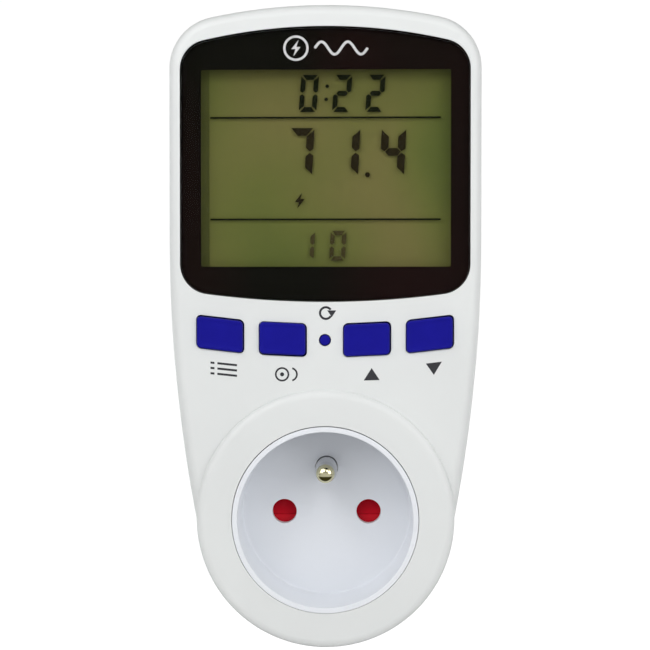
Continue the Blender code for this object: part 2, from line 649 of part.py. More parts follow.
def socket_insert():
    flange_y = (-51.7 * MM, -50.5 * MM)
    profile = [
        (0.0, SOCKET_FLOOR + 2.0 * MM),
        (INSERT_RADIUS, SOCKET_FLOOR + 2.0 * MM),
        (INSERT_RADIUS, flange_y[1]),
        (21.2 * MM, flange_y[1]),
        (21.2 * MM, flange_y[0]),
        (INSERT_RADIUS, flange_y[0]),
        (INSERT_RADIUS, RING_FACE),
        (RECESS_RADIUS + 0.5 * MM, RING_FACE),
        (RECESS_RADIUS, RING_FACE + 0.5 * MM),
        (RECESS_RADIUS, SOCKET_FLOOR),
        (0.0, SOCKET_FLOOR),
    ]
    insert = turned("socket_insert", profile, "socket_white", steps=60)
    clear = (-44 * MM, -36 * MM)
    for side in (-1, 1):
        x = side * PIN_SPACING / 2
        hole = cylinder(f"insert_hole_{side}", PIN_HOLE_RADIUS, (x, clear[0], 0), (x, clear[1], 0), sides=24)
        cut(insert, hole)
    earth = cylinder(
        "insert_earth_hole",
        PIN_RADIUS + 0.2 * MM,
        (0, clear[0], EARTH_HEIGHT),
        (0, clear[1], EARTH_HEIGHT),
        sides=24,
    )
    cut(insert, earth)


def earth_pin():
    tip = SOCKET_FLOOR - EARTH_PIN_LENGTH
    dome = arc(0, tip + PIN_RADIUS, PIN_RADIUS, 0, -90, 5)
    profile = [
        (0.0, -34.6 * MM),
        (1.5 * MM, -34.6 * MM),
        (1.5 * MM, -37.0 * MM),
        (3.4 * MM, -37.0 * MM),
        (3.4 * MM, SOCKET_FLOOR + 2.2 * MM),
        (PIN_RADIUS, SOCKET_FLOOR + 2.2 * MM),
        *dome[:-1],
        (0.0, tip),
    ]
    turned("earth_pin", profile, "earth_brass", at=(0, EARTH_HEIGHT), steps=24)


def shutter_mechanism():
    """One red slider behind both pin holes: its ramps push it down as the pins go in, a spring lifts it."""
    ramp = [
        (-39.55 * MM, -4.4 * MM),
        (-35.2 * MM, -4.4 * MM),
        (-35.2 * MM, 3.7 * MM),
        (-36.0 * MM, 3.7 * MM),
        (-38.9 * MM, -0.8 * MM),
        (-39.55 * MM, -3.0 * MM),
    ]
    slider = plate("shutter", ramp, (-13.2 * MM, 13.2 * MM), "shutter_red", along="X")
    spring_seat = (0, -37.3 * MM, -5.0 * MM)
    cut(slider, cylinder("spring_pocket", 1.9 * MM, spring_seat, (0, -37.3 * MM, -2.4 * MM), sides=12))
    spring_low, spring_high, turns, per_turn = -14.4 * MM, -3.0 * MM, 7, 9
    coil_radius = 1.35 * MM
    route = []
    for i in range(turns * per_turn + 1):
        share = i / (turns * per_turn)
        angle = 2 * math.pi * turns * share
        height = spring_low + (spring_high - spring_low) * share
        across, deep = coil_radius * math.cos(angle), coil_radius * math.sin(angle)
        route.append(Vector((across, -37.3 * MM + deep, height)))
    tube("shutter_spring", route, 0.2 * MM, "spring_steel")
    housing_depth, housing_height = (-39.7 * MM, -33.3 * MM), (-16 * MM, 5.2 * MM)
    housing = box("shutter_housing", (-15 * MM, 15 * MM), housing_depth, housing_height, "socket_white")
    cut(housing, box("slider_way", (-13.6 * MM, 13.6 * MM), (-41 * MM, -34.8 * MM), (-14.8 * MM, 4.1 * MM)))
    for side in (-1, 1):
        x = side * PIN_SPACING / 2
        start, end = (x, -36 * MM, 0), (x, -32 * MM, 0)
        cut(housing, cylinder(f"housing_hole_{side}", 2.9 * MM, start, end, sides=16))


def contacts():
    """Sprung brass sleeves in an insulating block behind the shutter."""
    block_depth = (-33.0 * MM, -22.0 * MM)
    block = box("contact_block", (-17 * MM, 17 * MM), block_depth, (-6 * MM, 6 * MM), "block_black")
    for name, side in (("live", -1), ("neutral", 1)):
        x = side * PIN_SPACING / 2
        start, end = (x, -34 * MM, 0), (x, -20 * MM, 0)
        cut(block, cylinder(f"{name}_pocket", 3.7 * MM, start, end, sides=20))
        sleeve = [
            (0.0, -22.0 * MM),
            (3.3 * MM, -22.0 * MM),
            (3.3 * MM, -32.0 * MM),
            (3.0 * MM, -32.8 * MM),
            (2.6 * MM, -32.4 * MM),
            (2.45 * MM, -31.0 * MM),
            (2.45 * MM, -23.2 * MM),
            (0.0, -23.2 * MM),
        ]
        contact = turned(f"{name}_contact", sleeve, "contact_brass", at=(x, 0), steps=20)
        slit = box(f"{name}_slit", (x - 0.4 * MM, x + 0.4 * MM), (-34 * MM, -24.5 * MM), (-5 * MM, 5 * MM))
        cut(contact, slit)


# ---------------------------------------------------------------- plug

def plug_housing():
    """The round plug: a cup that stands through the casing's back, held by a flange inside it."""
    profile = [
        (0.0, PLUG_FACE),
        (PLUG_RADIUS - 1.0 * MM, PLUG_FACE),
        (PLUG_RADIUS - 0.3 * MM, -0.3 * MM),
        (PLUG_RADIUS, -1.0 * MM),
        (PLUG_RADIUS, REAR_FACE - WALL - GAP),
        (PLUG_FLANGE, REAR_FACE - WALL - GAP),
        (PLUG_FLANGE, PLUG_RIM),
        (PLUG_BORE, PLUG_RIM),
        (PLUG_BORE, -2.5 * MM),
        (0.0, -2.5 * MM),
    ]
    housing = turned("plug_housing", profile, "socket_white", steps=48)
    reach = 25 * MM
    for side in (-1, 1):
        guide_x = sorted((side * 16.9 * MM, side * reach))
        cut(housing, box(f"guide_groove_{side}", guide_x, (REAR_FACE, 1 * MM), (-2.9 * MM, 2.9 * MM)))
        groove_z = sorted((side * 16.4 * MM, side * reach))
        cut(housing, box(f"clip_groove_{side}", (-2.6 * MM, 2.6 * MM), (REAR_FACE, -1.2 * MM), groove_z))
        slot_z = sorted((side * 14.0 * MM, side * 17.0 * MM))
        cut(housing, box(f"clip_slot_{side}", (-2.3 * MM, 2.3 * MM), (-17.1 * MM, -15.4 * MM), slot_z))
        x = side * PIN_SPACING / 2
        hole = cylinder(f"plug_hole_{side}", PIN_RADIUS + 0.2 * MM, (x, -4 * MM, 0), (x, 2 * MM, 0), sides=24)
        cut(housing, hole)
    earth_start, earth_end = (0, -4 * MM, EARTH_HEIGHT), (0, 2 * MM, EARTH_HEIGHT)
    earth = cylinder("plug_earth_hole", 3.4 * MM, earth_start, earth_end, sides=24)
    cut(housing, earth)


def plug_pins():
    tip = PLUG_FACE + PIN_LENGTH
    tip_round = arc(0, tip - 2.0 * MM, 2.0 * MM, 90, 0, 4)
    for name, side in (("live", -1), ("neutral", 1)):
        profile = [
            (0.0, tip),
            *[(r + 0.4 * MM, y) for r, y in tip_round[1:]],
            (PIN_RADIUS, -2.8 * MM),
            (3.4 * MM, -2.8 * MM),
            (3.4 * MM, -5.0 * MM),
            (1.6 * MM, -5.0 * MM),
            (1.6 * MM, -14.0 * MM),
            (0.0, -14.0 * MM),
        ]
        turned(f"plug_pin_{name}", profile, "pin_nickel", at=(side * PIN_SPACING / 2, 0), steps=20)


def current_path():
    """What joins the plug's pins to the socket's sleeves: a plain bar, and the shunt on the live side."""
    link_depth = (-21.7 * MM, -14.3 * MM)
    box("neutral_link", (8.0 * MM, 11.0 * MM), link_depth, (-1.5 * MM, 1.5 * MM), "contact_brass")
    arch = [
        (-21.7 * MM, -1.5 * MM),
        (-20.7 * MM, -1.5 * MM),
        (-20.7 * MM, 6.0 * MM),
        (-15.3 * MM, 6.0 * MM),
        (-15.3 * MM, -1.5 * MM),
        (-14.3 * MM, -1.5 * MM),
        (-14.3 * MM, 7.0 * MM),
        (-21.7 * MM, 7.0 * MM),
    ]
    plate("current_shunt", arch, (-11.0 * MM, -8.0 * MM), "shunt_alloy", along="X")


def earth_path():
    """The receptacle for the wall's earth pin, the side clips, and the strap to the socket's earth pin."""
    receptacle = [
        (0.0, -15.5 * MM),
        (0.0, -14.8 * MM),
        (2.5 * MM, -14.8 * MM),
        (2.5 * MM, -0.5 * MM),
        (3.1 * MM, -0.5 * MM),
        (3.1 * MM, -15.5 * MM),
    ]
    sleeve = receptacle[1:] + receptacle[:1]
    turned("earth_receptacle", sleeve, "contact_brass", at=(0, EARTH_HEIGHT), steps=20)
    box("earth_bridge", (-3 * MM, 3 * MM), (-16.7 * MM, -15.8 * MM), (-14.2 * MM, 14.2 * MM), "contact_brass")
    for name, side in (("upper", 1), ("lower", -1)):
        bow = 1.1 * MM
        steps = 6
        outer, inner = [], []
        for i in range(steps + 1):
            share = i / steps
            y = -16.7 * MM + 14.2 * MM * share
            rise = bow * math.sin(math.pi * share)
            outer.append((y, side * (17.4 * MM + rise)))
            inner.append((y, side * (16.8 * MM + rise)))
        leg = [
            (-15.9 * MM, side * 16.92 * MM),
            (-15.9 * MM, side * 14.5 * MM),
            (-16.7 * MM, side * 14.5 * MM),
        ]
        outline = outer + inner[:0:-1] + leg
        plate(f"earth_clip_{name}", outline, (-2.0 * MM, 2.0 * MM), "pin_nickel", along="X")
    strap = [
        (-36.8 * MM, 7.3 * MM),
        (-36.0 * MM, 7.3 * MM),
        (-36.0 * MM, 13.0 * MM),
        (-17.9 * MM, 13.0 * MM),
        (-17.9 * MM, 9.0 * MM),
        (-17.1 * MM, 9.0 * MM),
        (-17.1 * MM, 13.8 * MM),
        (-36.8 * MM, 13.8 * MM),
    ]
    strip = plate("earth_strap", strap, (-3.0 * MM, 3.0 * MM), "contact_brass", along="X")
    start, end = (0, -38 * MM, EARTH_HEIGHT), (0, -35 * MM, EARTH_HEIGHT)
    cut(strip, cylinder("strap_hole", 1.8 * MM, start, end, sides=12))


# ---------------------------------------------------------------- power board and wiring

def power_board():
    on_board = POWER_FRONT - GAP
    edge = rectangle((-27 * MM, 27 * MM), (45 * MM, 98 * MM))
    holes = [circle(x, z, 1.3 * MM, 12) for x, z in BOARD_PEGS]
    plate("power_board", edge, (POWER_FRONT, POWER_BACK), "board_green", holes=holes)
    dropper_height = (48.5 * MM, 57 * MM)
    box("dropper_capacitor", (-24 * MM, -6 * MM), (-41 * MM, on_board), dropper_height, "capacitor_yellow")
    can_start, can_end = (8 * MM, -40.5 * MM, 54 * MM), (8 * MM, on_board, 54 * MM)
    cylinder("filter_capacitor", 4.0 * MM, can_start, can_end, "capacitor_sleeve", sides=20)
    box("metering_chip", (4 * MM, 14 * MM), (-30.4 * MM, on_board), (70 * MM, 74 * MM), "chip_black")
    cell_y, cell_z = -34.6 * MM, 90 * MM
    cell_start, cell_end = (-9 * MM, cell_y, cell_z), (9 * MM, cell_y, cell_z)
    cylinder("backup_battery", 5.6 * MM, cell_start, cell_end, "battery_green", sides=20)
    disc_y, disc_z = -34.2 * MM, 54 * MM
    disc_start, disc_end = (18 * MM, disc_y, disc_z), (21.6 * MM, disc_y, disc_z)
    cylinder("varistor", 5.0 * MM, disc_start, disc_end, "varistor_blue", sides=20)


def ribbon_cable():
    """The flat cable that arches from the power board to the display board."""
    cy, cz = (BOARD_BACK + POWER_FRONT) / 2, 66 * MM
    reach = (POWER_FRONT - BOARD_BACK) / 2 - GAP
    outer = arc(cy, cz, reach, 0, 180, 12)
    inner = arc(cy, cz, reach - 0.7 * MM, 180, 0, 12)
    plate("ribbon_cable", outer + inner, (-20 * MM, -10 * MM), "cable_grey", along="X")


def wires():
    """Sense and supply leads from the current path up to the power board."""
    live = [
        Vector((-9.5, -20.8, 7.9)),
        Vector((-9.5, -23.4, 11.5)),
        Vector((-10.5, -25.0, 20.0)),
        Vector((-12.0, -26.0, 32.0)),
        Vector((-13.0, -28.3, 41.0)),
        Vector((-13.0, -29.9, 46.2)),
    ]
    neutral = [
        Vector((9.5, -18.0, 2.1)),
        Vector((9.5, -19.2, 7.2)),
        Vector((9.5, -23.2, 11.3)),
        Vector((10.5, -25.0, 20.0)),
        Vector((12.0, -26.0, 32.0)),
        Vector((13.0, -28.3, 41.0)),
        Vector((13.0, -29.9, 46.2)),
    ]
    tube("live_wire", [p * MM for p in smooth_route(live, 14)], 0.9 * MM, "wire_brown")
    tube("neutral_wire", [p * MM for p in smooth_route(neutral, 16)], 0.9 * MM, "wire_blue")


# ---------------------------------------------------------------- the meter

clear_scene()
PARTS = collection("plug_in_power_meter")
TOOLS = collection("cutters")
METER = bpy.data.objects.new("meter", None)
PARTS.objects.link(METER)

front_shell()
rear_shell()
case_screws()
rear_label()
display()
display_board()
key_mat()
keys()
socket_insert()
earth_pin()
shutter_mechanism()
contacts()
plug_housing()
plug_pins()
current_path()
earth_path()
power_board()
ribbon_cable()
wires()
for part in PARTS.objects:
    if part.type == "MESH":
        part.data.shade_smooth()
        part.data.set_sharp_from_angle(angle=math.radians(30))
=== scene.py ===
import json
import math

import bmesh
import bpy
from mathutils import Matrix, Vector


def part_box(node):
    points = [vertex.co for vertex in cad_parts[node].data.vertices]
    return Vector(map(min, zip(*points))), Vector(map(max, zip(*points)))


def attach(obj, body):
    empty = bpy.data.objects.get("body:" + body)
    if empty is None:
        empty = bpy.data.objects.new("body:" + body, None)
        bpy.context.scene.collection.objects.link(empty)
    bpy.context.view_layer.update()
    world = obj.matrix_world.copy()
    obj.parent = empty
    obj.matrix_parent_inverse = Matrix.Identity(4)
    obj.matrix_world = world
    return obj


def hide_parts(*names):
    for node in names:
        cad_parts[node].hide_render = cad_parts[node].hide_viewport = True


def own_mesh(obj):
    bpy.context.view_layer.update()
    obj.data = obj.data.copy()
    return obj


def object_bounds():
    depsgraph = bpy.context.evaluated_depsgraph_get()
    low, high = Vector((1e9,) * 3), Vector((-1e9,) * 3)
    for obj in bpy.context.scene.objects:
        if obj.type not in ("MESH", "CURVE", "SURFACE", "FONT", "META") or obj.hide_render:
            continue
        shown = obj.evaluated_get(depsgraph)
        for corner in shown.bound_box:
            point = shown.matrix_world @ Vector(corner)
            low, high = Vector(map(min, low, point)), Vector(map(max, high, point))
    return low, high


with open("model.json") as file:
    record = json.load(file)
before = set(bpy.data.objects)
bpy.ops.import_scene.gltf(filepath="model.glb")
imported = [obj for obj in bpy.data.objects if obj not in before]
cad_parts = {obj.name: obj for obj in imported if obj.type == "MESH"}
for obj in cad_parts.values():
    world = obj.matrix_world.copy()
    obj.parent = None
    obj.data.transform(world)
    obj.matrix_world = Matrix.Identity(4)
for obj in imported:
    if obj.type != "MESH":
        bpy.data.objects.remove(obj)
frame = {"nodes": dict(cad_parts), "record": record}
CAD_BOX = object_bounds()
MM = 0.001

# ---------------------------------------------------------------- sizes read from the frame

NODES = frame["nodes"]


def span(node, axis):
    low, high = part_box(node)
    return low[axis], high[axis]


RING_FACE = span("front_shell", 1)[0]
PANEL_FACE = span("display_window", 1)[0] - 0.1 * MM
PANEL_BACK = PANEL_FACE + 2.5 * MM
PARTING = span("front_shell", 1)[1] + 0.15 * MM
REAR_FACE = span("rear_shell", 1)[1]
UPPER_REAR = REAR_FACE - 6.5 * MM
HALF_WIDTH = span("rear_shell", 0)[1]
TOP = span("rear_shell", 2)[1]
FOOT_RADIUS = -span("rear_shell", 2)[0]
DISC_RADIUS = -span("front_shell", 2)[0]
TOP_RADIUS, CORNER_RADIUS = 121.0 * MM, 11.3 * MM
SIDE_RADIUS, SIDE_TANGENT = 320.0 * MM, 60.0 * MM
WALL, EDGE_RADIUS = 2.0 * MM, 2.6 * MM
STEP_LOW, STEP_HIGH = 42.0 * MM, 55.0 * MM

WINDOW_TOP, WINDOW_TOP_RADIUS, WINDOW_TOP_CORNER = 106.3 * MM, 118.0 * MM, 6.2 * MM
WINDOW_FOOT, WINDOW_FOOT_RADIUS, WINDOW_FOOT_CORNER = 47.2 * MM, 195.0 * MM, 6.4 * MM
WINDOW_HALF_WIDTH = 31.2 * MM
WINDOW_SEAT = PANEL_FACE + 1.7 * MM
# Upright areas behind the window: left and right, then low and high
VIEW = (-28.0 * MM, 28.0 * MM), (53.9 * MM, 98.1 * MM)
PRINT_OPENING = (-26.9 * MM, 27.2 * MM), (54.7 * MM, 97.3 * MM)
LCD_CELL = (-29.2 * MM, 29.2 * MM), (51.8 * MM, 100.2 * MM)
LCD_FILM = (-25.35 * MM, 28.6 * MM), (52.5 * MM, 99.4 * MM)

KEY_WIDTH, KEY_HEIGHT, KEY_CORNER = 9.9 * MM, 6.8 * MM, 0.85 * MM
KEY_CLEARANCE, KEY_PROUD = 0.25 * MM, 0.7 * MM
KEY_ARC_FOOT, KEY_ARC_RADIUS = 38.8 * MM, 195.5 * MM
KEYS = {"function": -22.65 * MM, "cost": -9.1 * MM, "up": 9.1 * MM, "down": 22.65 * MM}

SOCKET_FLOOR = span("socket_insert", 1)[1] - 2.0 * MM
RECESS_RADIUS, INSERT_RADIUS, SOCKET_OPENING = 19.0 * MM, 20.1 * MM, 20.25 * MM
PIN_SPACING, PIN_RADIUS, PIN_HOLE_RADIUS = 19.0 * MM, 2.4 * MM, 2.75 * MM
EARTH_HEIGHT = 10.0 * MM
# The socket's parts sit a little right of the casing's middle, its pin holes and pin a little low
SOCKET_SHIFT, PIN_SAG = 0.08 * MM, 0.28 * MM
PIN_HEIGHT = EARTH_HEIGHT - PIN_SAG
EARTH_TIP = span("earth_pin", 1)[0]
PLUG_RADIUS = 18.5 * MM
SIGN_SCALE = 1.15    # printed signs, against the millimetres they are drawn in
SCREWS = {n: [(a + b) / 2 for a, b in zip(*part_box(n))] for n in NODES if n.startswith("case_screw")}


# ---------------------------------------------------------------- materials

class Look:
    """A node material being put together."""

    def __init__(self, name):
        self.material = bpy.data.materials.new(name)
        self.material.use_nodes = True
        self.tree = self.material.node_tree
        self.shader = self.tree.nodes["Principled BSDF"]
        self.place = self.add("ShaderNodeTexCoord").outputs["Object"]

    def add(self, kind, **settings):
        node = self.tree.nodes.new(kind)
        for key, value in settings.items():
            setattr(node, key, value)
        return node

    def link(self, output, socket):
        self.tree.links.new(output, socket)

    def noise(self, scale, detail=3.0, rough=0.5, stretch=None, distort=0.0):
        node = self.add("ShaderNodeTexNoise")
        node.inputs["Scale"].default_value = scale
        node.inputs["Detail"].default_value = detail
        node.inputs["Roughness"].default_value = rough
        node.inputs["Distortion"].default_value = distort
        place = self.place
        if stretch:
            mapping = self.add("ShaderNodeMapping")
            mapping.inputs["Scale"].default_value = stretch
            self.link(place, mapping.inputs["Vector"])
            place = mapping.outputs["Vector"]
        self.link(place, node.inputs["Vector"])
        return node.outputs["Fac"]

    def ramp(self, fac, stops):
        node = self.add("ShaderNodeValToRGB")
        ramp = node.color_ramp
        while len(ramp.elements) < len(stops):
            ramp.elements.new(0.5)
        for element, (position, colour) in zip(ramp.elements, stops):
            element.position = position
            element.color = (*colour, 1.0)
        self.link(fac, node.inputs["Fac"])
        return node.outputs["Color"]

    def span(self, fac, low, high):
        node = self.add("ShaderNodeMapRange")
        node.inputs["From Min"].default_value = 0.3
        node.inputs["From Max"].default_value = 0.7
        node.inputs["To Min"].default_value = low
        node.inputs["To Max"].default_value = high
        self.link(fac, node.inputs["Value"])
        return node.outputs["Result"]

    def bump(self, height, distance, strength=0.5):
        node = self.add("ShaderNodeBump")
        node.inputs["Strength"].default_value = strength
        node.inputs["Distance"].default_value = distance
        self.link(height, node.inputs["Height"])
        return node.outputs["Normal"]

    def band(self, axis, start, end, low=0.0, high=1.0):
        """A soft step along one axis of the object."""
        split = self.add("ShaderNodeSeparateXYZ")
        self.link(self.place, split.inputs["Vector"])
        node = self.add("ShaderNodeMapRange", interpolation_type="SMOOTHSTEP")
        for key, value in (("From Min", start), ("From Max", end), ("To Min", low), ("To Max", high)):
            node.inputs[key].default_value = value
        self.link(split.outputs[axis], node.inputs["Value"])
        return node.outputs["Result"]

    def times(self, a, b):
        node = self.add("ShaderNodeMath", operation="MULTIPLY")
        self.link(a, node.inputs[0])
        self.link(b, node.inputs[1])
        return node.outputs["Value"]

    def mix(self, factor, a, b):
        """Two colours mixed; each is a tuple or an output."""
        node = self.add("ShaderNodeMix", data_type="RGBA")
        self.link(factor, node.inputs["Factor"])
        for key, value in (("A", a), ("B", b)):
            socket = next(i for i in node.inputs if i.name == key and i.type == "RGBA")
            if isinstance(value, tuple):
                socket.default_value = (*value, 1.0)
            else:
                self.link(value, socket)
        return next(o for o in node.outputs if o.type == "RGBA")

    def to(self, output, name):
        self.link(output, self.shader.inputs[name])

    def drift(self, fac, colour, spread):
        """The colour, going a little darker and a little lighter."""
        return self.ramp(fac, [(0.3, tint(colour, 1 - spread)), (0.7, tint(colour, 1 + spread))])

    def put(self, **values):
        for name, value in values.items():
            self.shader.inputs[name.replace("_", " ")].default_value = value


def tint(colour, factor):
    return tuple(min(c * factor, 1.0) for c in colour)


def moulded(name, colour, rough=(0.34, 0.46), grain=2600, depth=0.012, spread=0.02, level=0.5, painted_shade=None):
    """Moulded plastic: faint mottling in the colour, fine spark grain in the surface, and painted shade on
    the socket's recess wall when asked for.
    """
    look = Look(name)
    base = look.drift(look.noise(38, 2.0), colour, spread)
    # painted shade: inside the recess, past the lip, the wall is darkened towards the top, where the
    # overhang shades it
    if painted_shade:
        start, end, factor = painted_shade
        inside = look.band("Y", RING_FACE + 0.1 * MM, RING_FACE + 1.0 * MM)
        base = look.mix(look.times(look.band("Z", start, end), inside), base, tint(colour, factor))
    look.to(base, "Base Color")
    fine = look.noise(grain, 2.0, 0.6)
    look.to(look.span(look.noise(220, 3.0), *rough), "Roughness")
    look.to(look.bump(fine, depth * MM, 0.6), "Normal")
    look.put(Specular_IOR_Level=level)
    return look.material


def metal(name, colour, rough=(0.12, 0.24), stretch=(1, 1, 1), scale=900, depth=0.004, patina=None):
    """Plated or drawn metal with fine tool marks along one direction."""
    look = Look(name)
    broad = look.noise(120, 3.0)
    stops = [(0.3, tint(colour, 0.93)), (0.7, colour)]
    if patina:
        stops = [(0.25, patina), (0.5, tint(colour, 0.96)), (0.75, colour)]
    look.to(look.ramp(broad, stops), "Base Color")
    marks = look.noise(scale, 3.0, 0.6, stretch)
    look.to(look.span(marks, *rough), "Roughness")
    look.to(look.bump(marks, depth * MM, 0.4), "Normal")
    look.put(Metallic=1.0)
    return look.material


def pin_plate_with_painted_reflection(name, colour, shaft, dark):
    """Polished plate on the tip of the earth pin with a painted dark reflection low on the front of the tip,
    in the colour dark, and a plainer shaft.
    """
    look = Look(name)
    low, tip = PIN_HEIGHT - 0.42 * MM, EARTH_TIP
    # painted reflection: a dark patch low on the front of the tip stands for the dark surroundings mirrored
    # there
    reflection_band = look.band("Z", low + 0.12 * MM, low - 0.18 * MM)
    painted_reflection = look.times(reflection_band, look.band("Y", tip + 0.72 * MM, tip + 0.55 * MM))
    tip_with_reflection = look.mix(painted_reflection, colour, dark)
    look.to(look.mix(look.band("Y", tip + 1.5 * MM, tip + 2.4 * MM), tip_with_reflection, shaft), "Base Color")
    marks = look.noise(900, 3.0, 0.6, (1, 0.06, 1))
    look.to(look.span(marks, 0.05, 0.10), "Roughness")
    look.to(look.bump(marks, 0.002 * MM, 0.3), "Normal")
    look.put(Metallic=1.0)
    return look.material


def rubbery(name, colour, rough=(0.42, 0.58), grain=3200, depth=0.01, spread=0.05, sheen=0.0):
    """Satin silicone: soft sheen and a very fine grain."""
    look = Look(name)
    look.to(look.drift(look.noise(260, 3.0), colour, spread), "Base Color")
    look.to(look.span(look.noise(700, 3.0), *rough), "Roughness")
    look.to(look.bump(look.noise(grain, 2.0), depth * MM, 0.5), "Normal")
    look.put(Specular_IOR_Level=0.08, Sheen_Weight=sheen, Sheen_Roughness=0.4)
    look.put(Sheen_Tint=(0.25, 0.25, 0.9, 1.0))
    return look.material


def board(name):
    """Solder mask with copper tracks just showing under it."""
    look = Look(name)
    tracks = look.add("ShaderNodeTexBrick")
    tracks.inputs["Scale"].default_value = 160
    tracks.inputs["Mortar Size"].default_value = 0.03
    tracks.inputs["Color1"].default_value = (0.012, 0.10, 0.035, 1)
    tracks.inputs["Color2"].default_value = (0.014, 0.12, 0.042, 1)
    tracks.inputs["Mortar"].default_value = (0.03, 0.22, 0.08, 1)
    mapping = look.add("ShaderNodeMapping")
    mapping.inputs["Rotation"].default_value = (math.pi / 2, 0, 0)
    look.link(look.place, mapping.inputs["Vector"])
    look.link(mapping.outputs["Vector"], tracks.inputs["Vector"])
    look.to(tracks.outputs["Color"], "Base Color")
    look.to(look.span(look.noise(500), 0.28, 0.42), "Roughness")
    look.to(look.bump(tracks.outputs["Fac"], 0.02 * MM, 0.4), "Normal")
    return look.material


def pane(name, least=0.0022, most=0.55):
    """Thin clear acrylic: what is behind shows through, and the face reflects more at a low angle."""
    look = Look(name)
    tree = look.tree
    tree.nodes.remove(look.shader)
    clear = look.add("ShaderNodeBsdfTransparent")
    clear.inputs["Color"].default_value = (0.97, 0.97, 0.965, 1)
    gloss = look.add("ShaderNodeBsdfPrincipled")
    gloss.inputs["Metallic"].default_value = 1.0
    gloss.inputs["Base Color"].default_value = (1, 1, 1, 1)
    look.link(look.span(look.noise(300), 0.03, 0.07), gloss.inputs["Roughness"])
    look.link(look.bump(look.noise(45, 2.0), 0.02 * MM, 0.25), gloss.inputs["Normal"])
    facing = look.add("ShaderNodeLayerWeight")
    facing.inputs["Blend"].default_value = 0.5
    power = look.add("ShaderNodeMath", operation="POWER")
    power.inputs[1].default_value = 5.0
    look.link(facing.outputs["Facing"], power.inputs[0])
    scale = look.add("ShaderNodeMapRange")
    scale.inputs["To Min"].default_value = least
    scale.inputs["To Max"].default_value = most
    look.link(power.outputs["Value"], scale.inputs["Value"])
    mix = look.add("ShaderNodeMixShader")
    look.link(scale.outputs["Result"], mix.inputs["Fac"])
    look.link(clear.outputs["BSDF"], mix.inputs[1])
    look.link(gloss.outputs["BSDF"], mix.inputs[2])
    look.link(mix.outputs["Shader"], tree.nodes["Material Output"].inputs["Surface"])
    return look.material


def liquid_crystal(name):
    """The olive reflecting back of the cell, with slow drifts between greener and browner, and painted
    shadow darkening its top.
    """
    look = Look(name)
    slow = look.noise(26, 1.5, 0.45, (1.0, 1.0, 0.8), 0.3)
    green, olive, brown = (0.094, 0.124, 0.030), (0.135, 0.148, 0.040), (0.172, 0.158, 0.054)
    tone = look.ramp(slow, [(0.34, green), (0.5, olive), (0.66, brown)])
    # painted shadow: the window frame's shadow darkens the top of the cell
    upper = look.band("Z", 82 * MM, 98 * MM, 0.0, 0.30)
    look.to(look.mix(upper, tone, (0.052, 0.068, 0.014)), "Base Color")
    look.to(look.span(look.noise(900), 0.38, 0.5), "Roughness")
    look.to(look.bump(look.noise(5200, 1.0), 0.003 * MM, 0.3), "Normal")
    look.put(Specular_IOR_Level=0.0)
    return look.material


def printed(name, colour, rough=(0.45, 0.6), gloss=0.0):
    look = Look(name)
    look.to(look.drift(look.noise(1800, 2.0), colour, 0.1), "Base Color")
    look.to(look.span(look.noise(900), *rough), "Roughness")
    look.to(look.bump(look.noise(4000), 0.003 * MM, 0.3), "Normal")
    look.put(Specular_IOR_Level=gloss)
    return look.material


def window_ink(name):
    """Black screen print with a faint warm drift, a painted reflection of a dark room in the polished black.
    """
    look = Look(name)
    drift = look.noise(16, 1.0, 0.4, (1.3, 1.0, 0.5), 0.2)
    # painted reflection: the warm tone stands for a dark room mirrored in the black
    black, reflected_warm = (0.0042, 0.0040, 0.0026), (0.0135, 0.0040, 0.0042)
    look.to(look.ramp(drift, [(0.46, black), (0.72, reflected_warm)]), "Base Color")
    look.to(look.span(look.noise(900), 0.5, 0.62), "Roughness")
    look.to(look.bump(look.noise(4000), 0.003 * MM, 0.3), "Normal")
    look.put(Specular_IOR_Level=0.0)
    return look.material


SHELL = moulded("shell_white", (0.765, 0.783, 0.776))
# painted shade: the top of the socket recess wall is darkened, as the overhang shades it
INSERT = moulded(
    "insert_white",
    (0.825, 0.847, 0.885),
    rough=(0.38, 0.42),
    depth=0.001,
    spread=0.004,
    level=0.25,
    painted_shade=(6 * MM, 20 * MM, 0.85),
)
PLUG = moulded("plug_white", (0.74, 0.75, 0.755), rough=(0.3, 0.42))
KEY = rubbery("key_blue_silicone", (0.0075, 0.0062, 0.262), sheen=0.35)
MAT = rubbery("mat_blue_silicone", (0.02, 0.02, 0.30))
RED = moulded(
    "shutter_red_gloss",
    (0.70, 0.006, 0.021),
    rough=(0.10, 0.18),
    depth=0.003,
    spread=0.08,
    level=0.12,
)
BLACK_PRINT = window_ink("window_black_print")
SILVER_PRINT = printed("emblem_print", (0.72, 0.72, 0.74))
GREY_PRINT = printed("label_print", (0.05, 0.05, 0.055))
PANE = pane("window_acrylic_clear")
LCD_BACK = liquid_crystal("lcd_olive")
LCD_MARGIN = printed("lcd_margin_glass", (0.090, 0.098, 0.028))
SEGMENT_DARK = printed("lcd_segment_dark", (0.008, 0.010, 0.004), (0.5, 0.6))
SEGMENT_MID = printed("lcd_segment_mid", (0.020, 0.016, 0.007), (0.5, 0.6))
SEGMENT_PALE = printed("lcd_segment_pale", (0.055, 0.046, 0.018), (0.5, 0.6))
NICKEL = metal("nickel_plate", (0.78, 0.75, 0.70), rough=(0.10, 0.2), stretch=(1, 0.06, 1))
# the earth pin's plate has a painted dark reflection on its tip
PIN_GOLD = pin_plate_with_painted_reflection("earth_pin_plate", (0.72, 0.68, 0.44), (0.62, 0.63, 0.63), (0.060, 0.052, 0.014))
STEEL = metal("zinc_plate", (0.58, 0.58, 0.60), rough=(0.22, 0.36), patina=(0.50, 0.47, 0.40))
FOIL = moulded("label_foil", (0.62, 0.63, 0.64), rough=(0.3, 0.4), depth=0.004)

